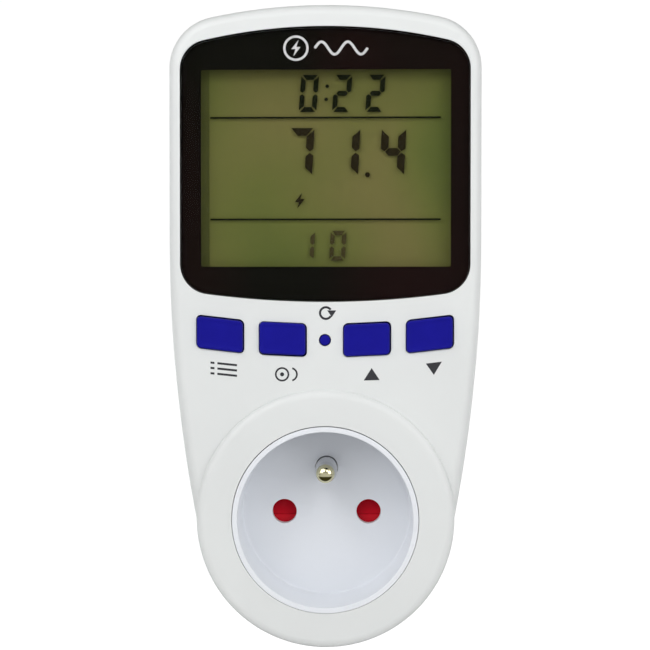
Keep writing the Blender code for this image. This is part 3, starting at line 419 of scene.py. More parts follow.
CAD_FINISH = {
    "casing_white": SHELL,
    "socket_white": INSERT,
    "key_blue": KEY,
    "window_acrylic": PANE,
    "gasket_black": rubbery("gasket_foam", (0.012, 0.012, 0.012), (0.7, 0.85), 1500, 0.05),
    "lcd_glass": LCD_BACK,
    "reflector_film": moulded("reflector_film_satin", (0.36, 0.36, 0.28), (0.25, 0.35)),
    "frame_white": moulded("frame_white_moulded", (0.68, 0.68, 0.66), (0.45, 0.6)),
    "zebra_rubber": rubbery("zebra_rubber_grey", (0.24, 0.24, 0.25)),
    "board_green": board("board_solder_mask"),
    "chip_black": moulded("chip_epoxy", (0.016, 0.016, 0.017), (0.5, 0.65), 1800, 0.03),
    "crystal_steel": metal("crystal_can", (0.62, 0.62, 0.62)),
    "key_mat": MAT,
    "carbon_pill": rubbery("carbon_pill_black", (0.01, 0.01, 0.01), (0.75, 0.9)),
    "shutter_red": RED,
    "spring_steel": metal("spring_wire", (0.56, 0.56, 0.56), scale=2600),
    "pin_nickel": NICKEL,
    "earth_brass": PIN_GOLD,
    "contact_brass": metal("contact_brass_strip", (0.74, 0.52, 0.22), (0.2, 0.34), patina=(0.5, 0.33, 0.14)),
    "shunt_alloy": metal("shunt_alloy_strip", (0.60, 0.43, 0.33), (0.25, 0.4)),
    "block_black": moulded("block_phenolic", (0.02, 0.02, 0.02), (0.4, 0.55)),
    "capacitor_yellow": moulded("capacitor_box", (0.70, 0.46, 0.05), (0.3, 0.45), 1600, 0.03),
    "capacitor_sleeve": moulded("capacitor_sleeve_film", (0.02, 0.03, 0.10), (0.2, 0.3)),
    "battery_green": moulded("battery_sleeve", (0.03, 0.30, 0.10), (0.2, 0.32)),
    "varistor_blue": moulded("varistor_dip", (0.03, 0.12, 0.45), (0.3, 0.45), 900, 0.05),
    "cable_grey": moulded("ribbon_jacket", (0.42, 0.42, 0.42), (0.4, 0.55)),
    "wire_brown": moulded("wire_jacket_brown", (0.15, 0.05, 0.02), (0.35, 0.5)),
    "wire_blue": moulded("wire_jacket_blue", (0.02, 0.10, 0.50), (0.35, 0.5)),
    "screw_steel": STEEL,
    "label_silver": FOIL,
}
for part in frame["record"]["subparts"]:
    NODES[part["node"]].data.materials.clear()
    NODES[part["node"]].data.materials.append(CAD_FINISH[part["material_slot"]])


# ---------------------------------------------------------------- outlines, as in the solids but finer

def arc(cx, cz, radius, start, end, steps):
    angles = [math.radians(start + (end - start) * i / steps) for i in range(steps + 1)]
    return [(cx + radius * math.cos(a), cz + radius * math.sin(a)) for a in angles]


def mirrored(half):
    return half + [(-x, z) for x, z in reversed(half) if x > 1e-9]


def tangent_corner(half_width, corner, cap_centre, cap_radius, side):
    across = half_width - corner
    reach = cap_radius - corner
    height = cap_centre + side * math.sqrt(reach**2 - across**2)
    return across, height, 90.0 - math.degrees(math.asin(across / reach))


def casing_outline(inset=0.0):
    side_centre = HALF_WIDTH - SIDE_RADIUS
    side_radius, foot_radius = SIDE_RADIUS - inset, FOOT_RADIUS - inset
    apart = math.hypot(side_centre, SIDE_TANGENT)
    towards = math.atan2(SIDE_TANGENT, side_centre)
    meet = towards - math.acos((apart**2 + foot_radius**2 - side_radius**2) / (2 * apart * foot_radius))
    meet_x, meet_z = foot_radius * math.cos(meet), foot_radius * math.sin(meet)
    side_start = math.degrees(math.atan2(meet_z - SIDE_TANGENT, meet_x - side_centre))
    top_centre = TOP - TOP_RADIUS
    cx, cz, corner_end = tangent_corner(HALF_WIDTH, CORNER_RADIUS, top_centre, TOP_RADIUS, 1)
    half = arc(0, 0, foot_radius, -90, math.degrees(meet), 44)
    half += arc(side_centre, SIDE_TANGENT, side_radius, side_start, 0, 16)[1:]
    half += arc(cx, cz, CORNER_RADIUS - inset, 0, corner_end, 14)
    half += arc(0, top_centre, TOP_RADIUS - inset, corner_end, 90, 14)[1:]
    half[0], half[-1] = (0.0, half[0][1]), (0.0, half[-1][1])
    return mirrored(half)


def window_outline(inset=0.0):
    top_centre, foot_centre = WINDOW_TOP - WINDOW_TOP_RADIUS, WINDOW_FOOT + WINDOW_FOOT_RADIUS
    wide = WINDOW_HALF_WIDTH
    tx, tz, top_end = tangent_corner(wide, WINDOW_TOP_CORNER, top_centre, WINDOW_TOP_RADIUS, 1)
    fx, fz, foot_end = tangent_corner(wide, WINDOW_FOOT_CORNER, foot_centre, WINDOW_FOOT_RADIUS, -1)
    half = arc(0, foot_centre, WINDOW_FOOT_RADIUS - inset, -90, -foot_end, 14)
    half += arc(fx, fz, WINDOW_FOOT_CORNER - inset, -foot_end, 0, 12)[1:]
    half += arc(tx, tz, WINDOW_TOP_CORNER - inset, 0, top_end, 12)
    half += arc(0, top_centre, WINDOW_TOP_RADIUS - inset, top_end, 90, 14)[1:]
    half[0], half[-1] = (0.0, half[0][1]), (0.0, half[-1][1])
    return mirrored(half)


def rounded_box(x, z, corner, steps=5):
    left, right = x[0] + corner, x[1] - corner
    low, high = z[0] + corner, z[1] - corner
    points = []
    for turn, (cx, cz) in enumerate(((right, high), (left, high), (left, low), (right, low))):
        points += arc(cx, cz, corner, 90 * turn, 90 * (turn + 1), steps)
    return points


def circle(cx, cz, radius, steps=48):
    return arc(cx, cz, radius, 0, 360 * (1 - 1 / steps), steps - 1)


def key_outline(grow, at):
    """A key's outline in place, leaning along the arc that the keys sit on."""
    x0, z0, lean = at, KEY_ARC_FOOT + at**2 / (2 * KEY_ARC_RADIUS), at / KEY_ARC_RADIUS
    corner = max(KEY_CORNER + grow, 0.3 * MM)
    half_w, half_h = KEY_WIDTH / 2 + grow, KEY_HEIGHT / 2 + grow
    key = rounded_box((-half_w, half_w), (-half_h, half_h), corner, 7)
    return [(x0 + x, z0 + z + lean * x) for x, z in key]


# ---------------------------------------------------------------- mesh tools

def link(name, mesh):
    obj = bpy.data.objects.new(name, mesh)
    bpy.context.scene.collection.objects.link(obj)
    return obj


def evaluated(obj):
    """The mesh that the object's modifiers or curve settings make."""
    bpy.context.view_layer.update()
    return bpy.data.meshes.new_from_object(obj.evaluated_get(bpy.context.evaluated_depsgraph_get()))


def loft(name, rings):
    """A closed body through rings of (x, z) points, each ring given as (points, y)."""
    bm = bmesh.new()
    loops = [[bm.verts.new((x, y, z)) for x, z in points] for points, y in rings]
    count = len(loops[0])
    for a, b in zip(loops, loops[1:]):
        for i in range(count):
            bm.faces.new((a[i], a[(i + 1) % count], b[(i + 1) % count], b[i]))
    bm.faces.new(loops[0])
    bm.faces.new(list(reversed(loops[-1])))
    bmesh.ops.recalc_face_normals(bm, faces=bm.faces)
    mesh = bpy.data.meshes.new(name)
    bm.to_mesh(mesh)
    bm.free()
    return link(name, mesh)


def turned(name, profile, at=(0.0, 0.0), steps=96):
    """A body turned round a Y line; its profile of (radius, y) closes on the axis or on itself."""
    bm = bmesh.new()
    angles = [2 * math.pi * i / steps for i in range(steps)]
    rings = []
    for radius, y in profile:
        ring = [(at[0] + radius * math.cos(a), y, at[1] + radius * math.sin(a)) for a in angles]
        if radius < 1e-9:
            ring = [(at[0], y, at[1])]
        rings.append([bm.verts.new(point) for point in ring])
    pairs = list(zip(rings, rings[1:]))
    if len(rings[0]) > 1:
        pairs.append((rings[-1], rings[0]))
    for a, b in pairs:
        for i in range(steps):
            j = (i + 1) % steps
            corners = [a[i % len(a)], a[j % len(a)], b[j % len(b)], b[i % len(b)]]
            unique = list(dict.fromkeys(corners))
            if len(unique) > 2:
                bm.faces.new(unique)
    bmesh.ops.recalc_face_normals(bm, faces=bm.faces)
    mesh = bpy.data.meshes.new(name)
    bm.to_mesh(mesh)
    bm.free()
    return link(name, mesh)


def plate(name, outlines, depth, along="Y"):
    """Flat outlines, the inner ones as holes, given thickness along Y, or along X with points (y, z)."""
    curve = bpy.data.curves.new(name, "CURVE")
    curve.dimensions, curve.fill_mode, curve.extrude = "2D", "BOTH", (depth[1] - depth[0]) / 2
    for points in outlines:
        spline = curve.splines.new("POLY")
        spline.points.add(len(points) - 1)
        for point, (u, v) in zip(spline.points, points):
            point.co = (u, v, 0.0, 1.0)
        spline.use_cyclic_u = True
    middle = (depth[0] + depth[1]) / 2
    drawn = link(name + "_curve", curve)
    mesh = evaluated(drawn)
    bpy.data.objects.remove(drawn)
    if along == "Y":
        turn = Matrix(((1, 0, 0, 0), (0, 0, -1, middle), (0, 1, 0, 0), (0, 0, 0, 1)))
    else:
        turn = Matrix(((0, 0, 1, middle), (1, 0, 0, 0), (0, 1, 0, 0), (0, 0, 0, 1)))
    bm = bmesh.new()
    bm.from_mesh(mesh)
    bmesh.ops.remove_doubles(bm, verts=bm.verts, dist=1e-7)
    bmesh.ops.transform(bm, matrix=turn, verts=bm.verts)
    bmesh.ops.dissolve_limit(bm, angle_limit=math.radians(0.02), verts=bm.verts, edges=bm.edges)
    bmesh.ops.recalc_face_normals(bm, faces=bm.faces)
    bm.to_mesh(mesh)
    bm.free()
    mesh.name = name
    return link(name, mesh)


def combine(target, tools, operation="DIFFERENCE"):
    """Cuts the tools out of the target, or joins them on, and removes them."""
    for tool in tools:
        modifier = target.modifiers.new("combine", "BOOLEAN")
        modifier.operation, modifier.object, modifier.solver = operation, tool, "EXACT"
    settle(target)
    for tool in tools:
        bpy.data.objects.remove(tool)
    return target


def settle(obj):
    """Makes the object's modifiers part of its mesh."""
    mesh = evaluated(obj)
    obj.modifiers.clear()
    obj.data = mesh
    return obj


def bevel(obj, width, segments):
    modifier = obj.modifiers.new("bevel", "BEVEL")
    modifier.width, modifier.segments = width, segments
    modifier.limit_method, modifier.angle_limit = "ANGLE", math.radians(40)
    return settle(obj)


def piece(obj, material, body="casing", replaces=()):
    """Smooths, paints and mounts a finished mesh."""
    obj.data.shade_smooth()
    obj.data.set_sharp_from_angle(angle=math.radians(32))
    weighted = obj.modifiers.new("weighted_normals", "WEIGHTED_NORMAL")
    weighted.keep_sharp = True
    obj.data.materials.clear()
    obj.data.materials.append(material)
    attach(obj, body)
    if replaces:
        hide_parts(*replaces)
    return obj


def rounding(radius, y, across, deep, steps=8):
    """Profile points of a round edge that ends on a wall at radius, from a face at y."""
    turn = [math.pi / 2 * i / steps for i in range(steps + 1)]
    return [(radius - across * (1 - math.sin(a)), y + deep * (1 - math.cos(a))) for a in turn]


def slab(name, x, z, corner, depth):
    """An upright plate with round corners, between two depths."""
    return loft(name, [(rounded_box(x, z, corner), y) for y in depth])


def mouth(name, outline, flare, depth, face=PANEL_FACE):
    """A cutter whose outline opens with a small round at the face."""
    steps = [(flare, face - 1.0 * MM), *rounding(0.0, face, -flare, flare, 3), (0.0, depth)]
    return loft(name, [(outline(grow), y) for grow, y in steps])


# ---------------------------------------------------------------- casing

def front_shell():
    end = PARTING - 0.15 * MM
    steps = rounding(0.0, PANEL_FACE, -EDGE_RADIUS, EDGE_RADIUS)
    steps += [(0.0, end - 0.15 * MM), (0.15 * MM, end), (WALL, end)]
    steps += [(WALL, PANEL_BACK + 0.6 * MM), (WALL + 0.6 * MM, PANEL_BACK)]
    shell = loft("front_casing", [(casing_outline(inset), y) for inset, y in steps])
    radius = DISC_RADIUS - 0.25 * MM
    round_over = rounding(radius, RING_FACE, 2.0 * MM, 1.4 * MM, 10)
    back = RING_FACE + 5 * MM
    disc = [(17 * MM, RING_FACE), *round_over, (radius, back), (17 * MM, back)]
    combine(shell, [turned("disc", disc, (SOCKET_SHIFT, 0.18 * MM), 192)], "UNION")
    through = PANEL_BACK + 1 * MM
    cutters = [
        mouth("seat", lambda g: window_outline(-0.15 * MM - g), 0.12 * MM, WINDOW_SEAT),
        slab("view", *VIEW, 0.5 * MM, (WINDOW_SEAT - 1 * MM, through)),
        mouth("reset", lambda g: circle(0, KEY_ARC_FOOT, 1.32 * MM + g, 40), 0.1 * MM, through),
    ]
    for at in KEYS.values():
        cutters.append(mouth("key_hole", lambda g: key_outline(KEY_CLEARANCE + g, at), 0.08 * MM, through))

    def ring(grow):
        return circle(SOCKET_SHIFT, 0.05 * MM, SOCKET_OPENING + grow, 192)

    cutters.append(mouth("socket_mouth", ring, 0.05 * MM, -45 * MM, RING_FACE))
    combine(shell, cutters)
    piece(shell, SHELL, replaces=["front_shell"])


def rear_form(name, inset, segments):
    form = loft(name, [(casing_outline(inset), y) for y in (PARTING - 6 * MM, REAR_FACE - inset)])
    upper, lower, far = UPPER_REAR - inset, REAR_FACE - inset, 30 * MM
    slope = math.atan2(lower - upper, STEP_HIGH - STEP_LOW)
    blend = 6 * MM * math.tan(slope / 2)
    turn = math.degrees(slope)
    profile = [(far, STEP_LOW - far), (lower, STEP_LOW - blend * 1.001)]
    profile += arc(lower - 6 * MM, STEP_LOW - blend, 6 * MM, 0, turn, 6)[1:]
    profile += arc(upper + 6 * MM, STEP_HIGH + blend, 6 * MM, 180 + turn, 180, 6)
    profile += [(upper, TOP + far), (far, TOP + far)]
    combine(form, [plate(name + "_step", [profile], (-50 * MM, 50 * MM), along="X")])
    return bevel(form, EDGE_RADIUS - inset, segments)


def rear_shell():
    shell = rear_form("rear_casing", 0.0, 7)
    start = PARTING + 0.15 * MM
    cavity = rear_form("rear_cavity", WALL, 2)
    front = loft("front_cut", [(circle(0, 40 * MM, 140 * MM, 24), y) for y in (-80 * MM, start)])
    counterbores, bosses = [], []
    for x, _, z in SCREWS.values():
        back = UPPER_REAR if z > STEP_HIGH else REAR_FACE
        bore = [
            (0.0, -33 * MM),
            (2.7 * MM, -33 * MM),
            (2.7 * MM, back - 0.3 * MM),
            (3.0 * MM, back),
            (3.0 * MM, back + 2 * MM),
            (0.0, back + 2 * MM),
        ]
        counterbores.append(turned("counterbore", bore, (x, z), 48))
        inner, outer, end = 1.6 * MM, 3.4 * MM, back - 1 * MM
        boss = [(inner, start), (outer, start), (outer, end), (inner, end)]
        bosses.append(turned("boss", boss, (x, z), 40))
    combine(shell, [cavity, front])
    combine(shell, bosses, "UNION")
    near, wide, far = PLUG_RADIUS + 0.3 * MM, PLUG_RADIUS + 0.5 * MM, REAR_FACE + 5 * MM
    opening = [(0.0, -24 * MM), (near, -24 * MM), (near, REAR_FACE - 0.2 * MM)]
    opening += [(wide, REAR_FACE), (wide, far), (0.0, far)]
    combine(shell, [*counterbores, turned("plug_opening", opening, steps=128)])
    walls = [casing_outline(2.3 * MM), casing_outline(3.2 * MM)]
    tongue = plate("tongue", walls, (PARTING - 2.3 * MM, PARTING + 2 * MM))
    walls = [casing_outline(1.8 * MM), casing_outline(3.25 * MM)]
    root = plate("root", walls, (start, PARTING + 3 * MM))
    combine(shell, [root, tongue], "UNION")
    piece(shell, SHELL, replaces=["rear_shell"])


# ---------------------------------------------------------------- display

def window():
    front, back = PANEL_FACE + 0.06 * MM, PANEL_FACE + 1.15 * MM
    edge = 0.10 * MM
    steps = [*rounding(0.0, front, -edge, edge, 3), (0.0, back)]
    clear = loft("window_pane", [(window_outline(inset), y) for inset, y in steps])
    piece(clear, PANE, replaces=["display_window"])
    view = rounded_box(*PRINT_OPENING, 0.35 * MM, 6)
    mask = plate("window_print", [window_outline(0.05 * MM), view], (back + 0.10 * MM, back + 0.16 * MM))
    piece(mask, BLACK_PRINT)
    sides = [window_outline(-0.10 * MM), window_outline(0.01 * MM)]
    band = plate("window_edge", sides, (front + 0.1 * MM, back))
    piece(band, BLACK_PRINT)
    emblem(back + 0.03 * MM)
    cell = slab("lcd_cell", *LCD_CELL, 0.4 * MM, (-51.6 * MM, -51.1 * MM))
    piece(cell, LCD_MARGIN, replaces=["lcd_glass"])
    film = slab("lcd_film", *LCD_FILM, 0.3 * MM, (-51.75 * MM, -51.62 * MM))
    piece(film, LCD_BACK)


def emblem(y):
    """A plain bolt in a ring with a mains wave beside it."""
    cx, cz = -6.3 * MM, 101.9 * MM
    depth = (y, y + 0.04 * MM)
    ring = plate("emblem_ring", [circle(cx, cz, 2.75 * MM, 64), circle(cx, cz, 2.25 * MM, 64)], depth)
    bolt = [(0.55, 1.75), (-1.0, -0.2), (-0.1, -0.2), (-0.55, -1.75), (1.0, 0.25), (0.1, 0.25)]
    bolt = plate("emblem_bolt", [[(cx + x * MM, cz + z * MM) for x, z in bolt]], depth)
    upper, lower = [], []
    for i in range(97):
        t = i / 96
        x = (-2.2 + 11.4 * t) * MM
        z = cz + 1.35 * MM * math.sin(t * 4 * math.pi)
        slope = 1.35 * 4 * math.pi / 11.4 * math.cos(t * 4 * math.pi)
        n = math.hypot(1, slope)
        upper.append((x - 0.28 * MM * slope / n, z + 0.28 * MM / n))
        lower.append((x + 0.28 * MM * slope / n, z - 0.28 * MM / n))
    wave = plate("emblem_wave", [upper + lower[::-1]], depth)
    for obj in (ring, bolt, wave):
        piece(obj, SILVER_PRINT)


SEGMENTS = {"0": "ABCDEF", "1": "BC", "2": "ABGED", "4": "FGBC", "7": "ABC"}


def digit(character, right, foot, width, height, thick, slant):
    """Outlines of one seven-segment figure with its lower right corner at (right, foot)."""
    w, h, t, gap = width, height, thick, 0.13
    middle, half = h / 2, thick * 0.5
    outer, inner = 0.36 + half * 0.9, t + gap * 0.6
    top = [
        (0.32, h),
        (w - 0.32, h),
        (w - outer, h - t * 0.55),
        (w - inner, h - t),
        (inner, h - t),
        (outer, h - t * 0.55),
    ]
    left = [
        (0.04, h - 0.34),
        (t * 0.42, h - 0.34 - t * 0.42),
        (t, h - t - gap * 1.4),
        (t, middle + half + gap),
        (half, middle + gap * 1.2),
        (0, middle + half * 0.7 + gap),
    ]
    bar_start, bar_end = t * 1.05, w - t * 1.05
    bar_middle = [
        (half + 0.16, middle),
        (bar_start, middle + half),
        (bar_end, middle + half),
        (w - half - 0.16, middle),
        (bar_end, middle - half),
        (bar_start, middle - half),
    ]

    def over(points):
        flipped = [(x, h - z) for x, z in points]
        return flipped[:1] + flipped[:0:-1]

    def across(points):
        flipped = [(w - x, z) for x, z in points]
        return flipped[:1] + flipped[:0:-1]

    right_side = across(left)
    shapes = {
        "A": top,
        "B": right_side,
        "C": over(right_side),
        "D": over(top),
        "E": over(left),
        "F": left,
        "G": bar_middle,
    }
    lean = math.tan(math.radians(slant))
    outlines = []
    for segment in SEGMENTS[character]:
        outlines.append([((right - w + x + lean * z) * MM, (foot + z) * MM) for x, z in shapes[segment]])
    return outlines


def display_figures():
    depth = (-52.30 * MM, -52.25 * MM)
    rows = [
        ("upper", SEGMENT_DARK, [("0", -1.93), ("2", 5.32), ("2", 12.55)], 88.4, 3.9, 8.05, 1.08, 4.5),
        ("middle", SEGMENT_MID, [("7", -2.85), ("1", 7.15), ("4", 17.15)], 74.46, 5.4, 10.45, 1.68, 3.0),
        ("lower", SEGMENT_PALE, [("1", -2.55), ("0", 4.3)], 56.07, 3.5, 6.5, 0.95, 3.4),
    ]
    dots = {"upper": [(0.43, 93.99, 0.40), (0.19, 91.13, 0.40)], "middle": [(9.2, 74.75, 0.55)], "lower": []}
    for name, material, figures, foot, width, height, thick, slant in rows:
        outlines = []
        for character, right in figures:
            outlines += digit(character, right, foot, width, height, thick, slant)
        outlines += [circle(x * MM, z * MM, r * MM, 24) for x, z, r in dots[name]]
        piece(plate(f"lcd_figures_{name}", outlines, depth), material)
    wide = (-25.1 * MM, 25.14 * MM)
    lines = [rounded_box(wide, ((z - 0.2) * MM, (z + 0.2) * MM), 0.1 * MM, 2) for z in (87.18, 65.04)]
    piece(plate("lcd_lines", lines, depth), SEGMENT_DARK)
    bolt = [(0.45, 1.75), (-1.15, -0.3), (-0.2, -0.3), (-0.65, -1.75), (1.05, 0.4), (0.1, 0.4)]
    bolt = [((-5.5 + x) * MM, (69.1 + z) * MM) for x, z in bolt]
    piece(plate("lcd_power_sign", [bolt], depth), SEGMENT_MID)


# ---------------------------------------------------------------- keys and their labels

def keys():
    for name, at in KEYS.items():
        foot = span(f"key_{name}", 1)[1]
        front, flange = PANEL_FACE - KEY_PROUD, foot - 4.85 * MM
        lift = 0.10 * MM if name == "cost" else -0.09 * MM
        steps = [(-1.25, 0.14), (-0.85, 0.11), (-0.6, 0.04)]
        steps = [(grow * MM, front + y * MM) for grow, y in steps]
        steps += [*rounding(0.0, front, 0.42 * MM, 0.42 * MM, 6), (0.0, flange)]
        edge = [(1.0, 0.0), (1.1, 0.1), (1.1, 0.9), (1.0, 1.0), (-1.0, 1.0)]
        steps += [(grow * MM, flange + y * MM) for grow, y in edge]
        rings = []
        for grow, y in [*steps, (-1.0 * MM, foot)]:
            outline = [(x - 0.09 * MM, z + lift) for x, z in key_outline(grow, at)]
            rings.append((outline, y))
        piece(loft(f"key_cap_{name}", rings), KEY, f"key_{name}", [f"key_{name}"])
    low, high = span("key_reset", 1)
    profile = [(0.0, low), *rounding(1.13 * MM, low, 0.35 * MM, 0.3 * MM, 5)]
    steps = [(1.13, -52.6), (2.6, -52.6), (2.6, -51.6), (1.5, -51.6)]
    profile += [(r * MM, y * MM) for r, y in steps]
    profile += [(1.5 * MM, high), (0.0, high)]
    reset = turned("key_cap_reset", profile, (0, KEY_ARC_FOOT), 48)
    piece(reset, KEY, "key_reset", ["key_reset"])


def bar(x, z):
    return [(x[0], z[0]), (x[1], z[0]), (x[1], z[1]), (x[0], z[1])]


def pictogram(name, outlines, x, z, lean=0.0):
    """A small printed sign, given in millimetres round its middle, on the panel at (x, z)."""
    places = []
    for points in outlines:
        grown = [(u * SIGN_SCALE, v * SIGN_SCALE) for u, v in points]
        places.append([((x + u) * MM, (z + v + u * lean) * MM) for u, v in grown])
    ink = plate(name, places, (PANEL_FACE - 0.014 * MM, PANEL_FACE + 0.002 * MM))
    piece(ink, GREY_PRINT)


def ring_part(outer, inner, start, end, steps=32):
    return arc(0, 0, outer, start, end, steps) + arc(0, 0, inner, end, start, steps)


def labels():
    """Plain signs under the keys: a list, a coin, up and down arrows, and a turning arrow for reset."""
    dot, line = (-2.5, -1.75), (-1.2, 2.5)
    rows = [bar(x, (z - 0.2, z + 0.2)) for z in (-1.0, 0, 1.0) for x in (dot, line)]
    pictogram("print_function", rows, -21.9, 32.5, -0.10)
    coins = [circle(-0.75, 0, 1.35, 48), circle(-0.75, 0, 1.02, 48), circle(-0.75, 0, 0.38, 24)]
    coins.append([(u + 0.85, v) for u, v in ring_part(1.35, 1.02, -75, 75)])
    pictogram("print_cost", coins, -8.4, 31.4)
    pictogram("print_up", [[(-1.5, -1.1), (1.5, -1.1), (0, 1.2)]], 10.1, 31.4, 0.03)
    pictogram("print_down", [[(-1.5, 1.1), (0, -1.2), (1.5, 1.1)]], 23.5, 32.7, 0.12)
    turn = [ring_part(1.3, 0.88, 35, 330), [(0.25, 0.5), (1.95, 0.5), (1.12, -0.75)]]
    pictogram("print_reset", turn, 0.2, 44.65)


# ---------------------------------------------------------------- socket

def socket():
    lip_front = RING_FACE
    outer, inner = INSERT_RADIUS + 0.02 * MM, RECESS_RADIUS
    back = SOCKET_FLOOR + 2.0 * MM
    fillet, lip, flange = 0.4 * MM, 0.14 * MM, 21.2 * MM
    profile = [(0.0, SOCKET_FLOOR), *rounding(inner, SOCKET_FLOOR, fillet, -fillet)]
    profile += reversed(rounding(inner, lip_front, -lip, lip, 5))
    profile += [(outer - 0.05 * MM, lip_front), (outer, lip_front + 0.05 * MM)]
    profile += [(outer, -51.7 * MM), (flange, -51.7 * MM), (flange, -50.5 * MM), (outer, -50.5 * MM)]
    profile += [(outer, back), (0.0, back)]
    insert = turned("socket_well", profile, steps=192)
    cutters, soft = [], 0.06 * MM
    half = PIN_SPACING / 2
    holes = [(-half, -PIN_SAG, PIN_HOLE_RADIUS), (half, -PIN_SAG, PIN_HOLE_RADIUS)]
    holes.append((0, PIN_HEIGHT, 2.57 * MM))
    for x, z, radius in holes:
        hole = [
            (0.0, SOCKET_FLOOR - 1 * MM),
            (radius + soft, SOCKET_FLOOR - 1 * MM),
            (radius + soft, SOCKET_FLOOR),
            (radius + 0.3 * soft, SOCKET_FLOOR + 0.3 * soft),
            (radius, SOCKET_FLOOR + soft),
            (radius, back + 1 * MM),
            (0.0, back + 1 * MM),
        ]
        cutters.append(turned("pin_hole", hole, (x, z), 64))
    combine(insert, cutters)
    insert.data.transform(Matrix.Translation((SOCKET_SHIFT, 0.0, 0.0)))
    piece(insert, INSERT, replaces=["socket_insert"])
    ball = 2.1 * MM
    angles = [math.radians(72) * i / 14 for i in range(15)]
    dome = [(ball * math.sin(a), EARTH_TIP + ball * (1 - math.cos(a))) for a in angles]
    taper = [(r * MM, EARTH_TIP + y * MM) for r, y in ((2.08, 2.7), (2.25, 3.9), (2.40, 5.4))]
    profile = [*dome, *taper, (2.45 * MM, -39.8 * MM), (3.4 * MM, -39.8 * MM), (3.4 * MM, -37 * MM)]
    profile += [(1.5 * MM, -37 * MM), (1.5 * MM, -34.6 * MM), (0.0, -34.6 * MM)]
    pin = turned("earth_contact_pin", profile, (SOCKET_SHIFT, PIN_HEIGHT), 72)
    piece(pin, PIN_GOLD, replaces=["earth_pin"])


def shutter():
    """The red shutter: a flat face, a crease, then a shallow ramp that the plug's pins push down."""
    low, high = span("shutter", 2)
    face, back = span("shutter", 1)
    face -= 0.1 * MM
    ramp_foot, ramp_top = low + 3.35 * MM, high - 0.6 * MM
    profile = [(back, low), (back, high), (back - 0.8 * MM, high), (face + 1.7 * MM, ramp_top)]
    profile += [(face + 0.28 * MM, ramp_foot), (face + 0.16 * MM, low + 3.1 * MM)]
    profile += [(face, low + 2.6 * MM), (face, low)]
    obj = plate("shutter_slide_red", [profile], span("shutter", 0), along="X")
    bevel(obj, 0.18 * MM, 3)
    line, ahead = -1.2 * MM, face - 1 * MM
    depth = face + 0.28 * MM + 1.42 * MM * (line - ramp_foot) / (ramp_top - ramp_foot)
    depth += 0.30 * MM
    groove = [(ahead, line - 0.1 * MM), (ahead, line + 0.1 * MM)]
    groove += [(depth, line + 0.04 * MM), (depth, line - 0.04 * MM)]
    pocket = rounded_box((-1.9 * MM, 1.9 * MM), (low - 1 * MM, -2.4 * MM), 0.3 * MM)
    pocket = loft("spring_pocket", [(pocket, y) for y in (-39.2 * MM, -35.4 * MM)])
    combine(obj, [plate("groove", [groove], (-20 * MM, 20 * MM), along="X"), pocket])
    piece(obj, RED, "shutter", ["shutter"])


def spring():
    """The shutter's return coil, drawn at one fixed length; the real coil shortens as the shutter goes down.
    """
    (low, high), (front, back) = span("shutter_spring", 2), span("shutter_spring", 1)
    wire, turns, per_turn = 0.2 * MM, 7, 28
    radius, middle = (back - front) / 2 - wire, (front + back) / 2
    curve = bpy.data.curves.new("coil_wire", "CURVE")
    curve.dimensions, curve.bevel_depth = "3D", wire
    curve.bevel_resolution, curve.use_fill_caps = 3, True
    route = curve.splines.new("POLY")
    route.points.add(turns * per_turn)
    for i, point in enumerate(route.points):
        a = 2 * math.pi * i / per_turn
        rise = low + wire + (high - low - 2 * wire) * i / (turns * per_turn)
        point.co = (radius * math.cos(a), middle + radius * math.sin(a), rise, 1.0)
    wound = link("coil_wire", curve)
    mesh = evaluated(wound)
    bpy.data.objects.remove(wound)
    coil = link("shutter_coil_spring", mesh)
    piece(coil, CAD_FINISH["spring_steel"], replaces=["shutter_spring"])
    settle(coil)
    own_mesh(coil)


# ---------------------------------------------------------------- plug

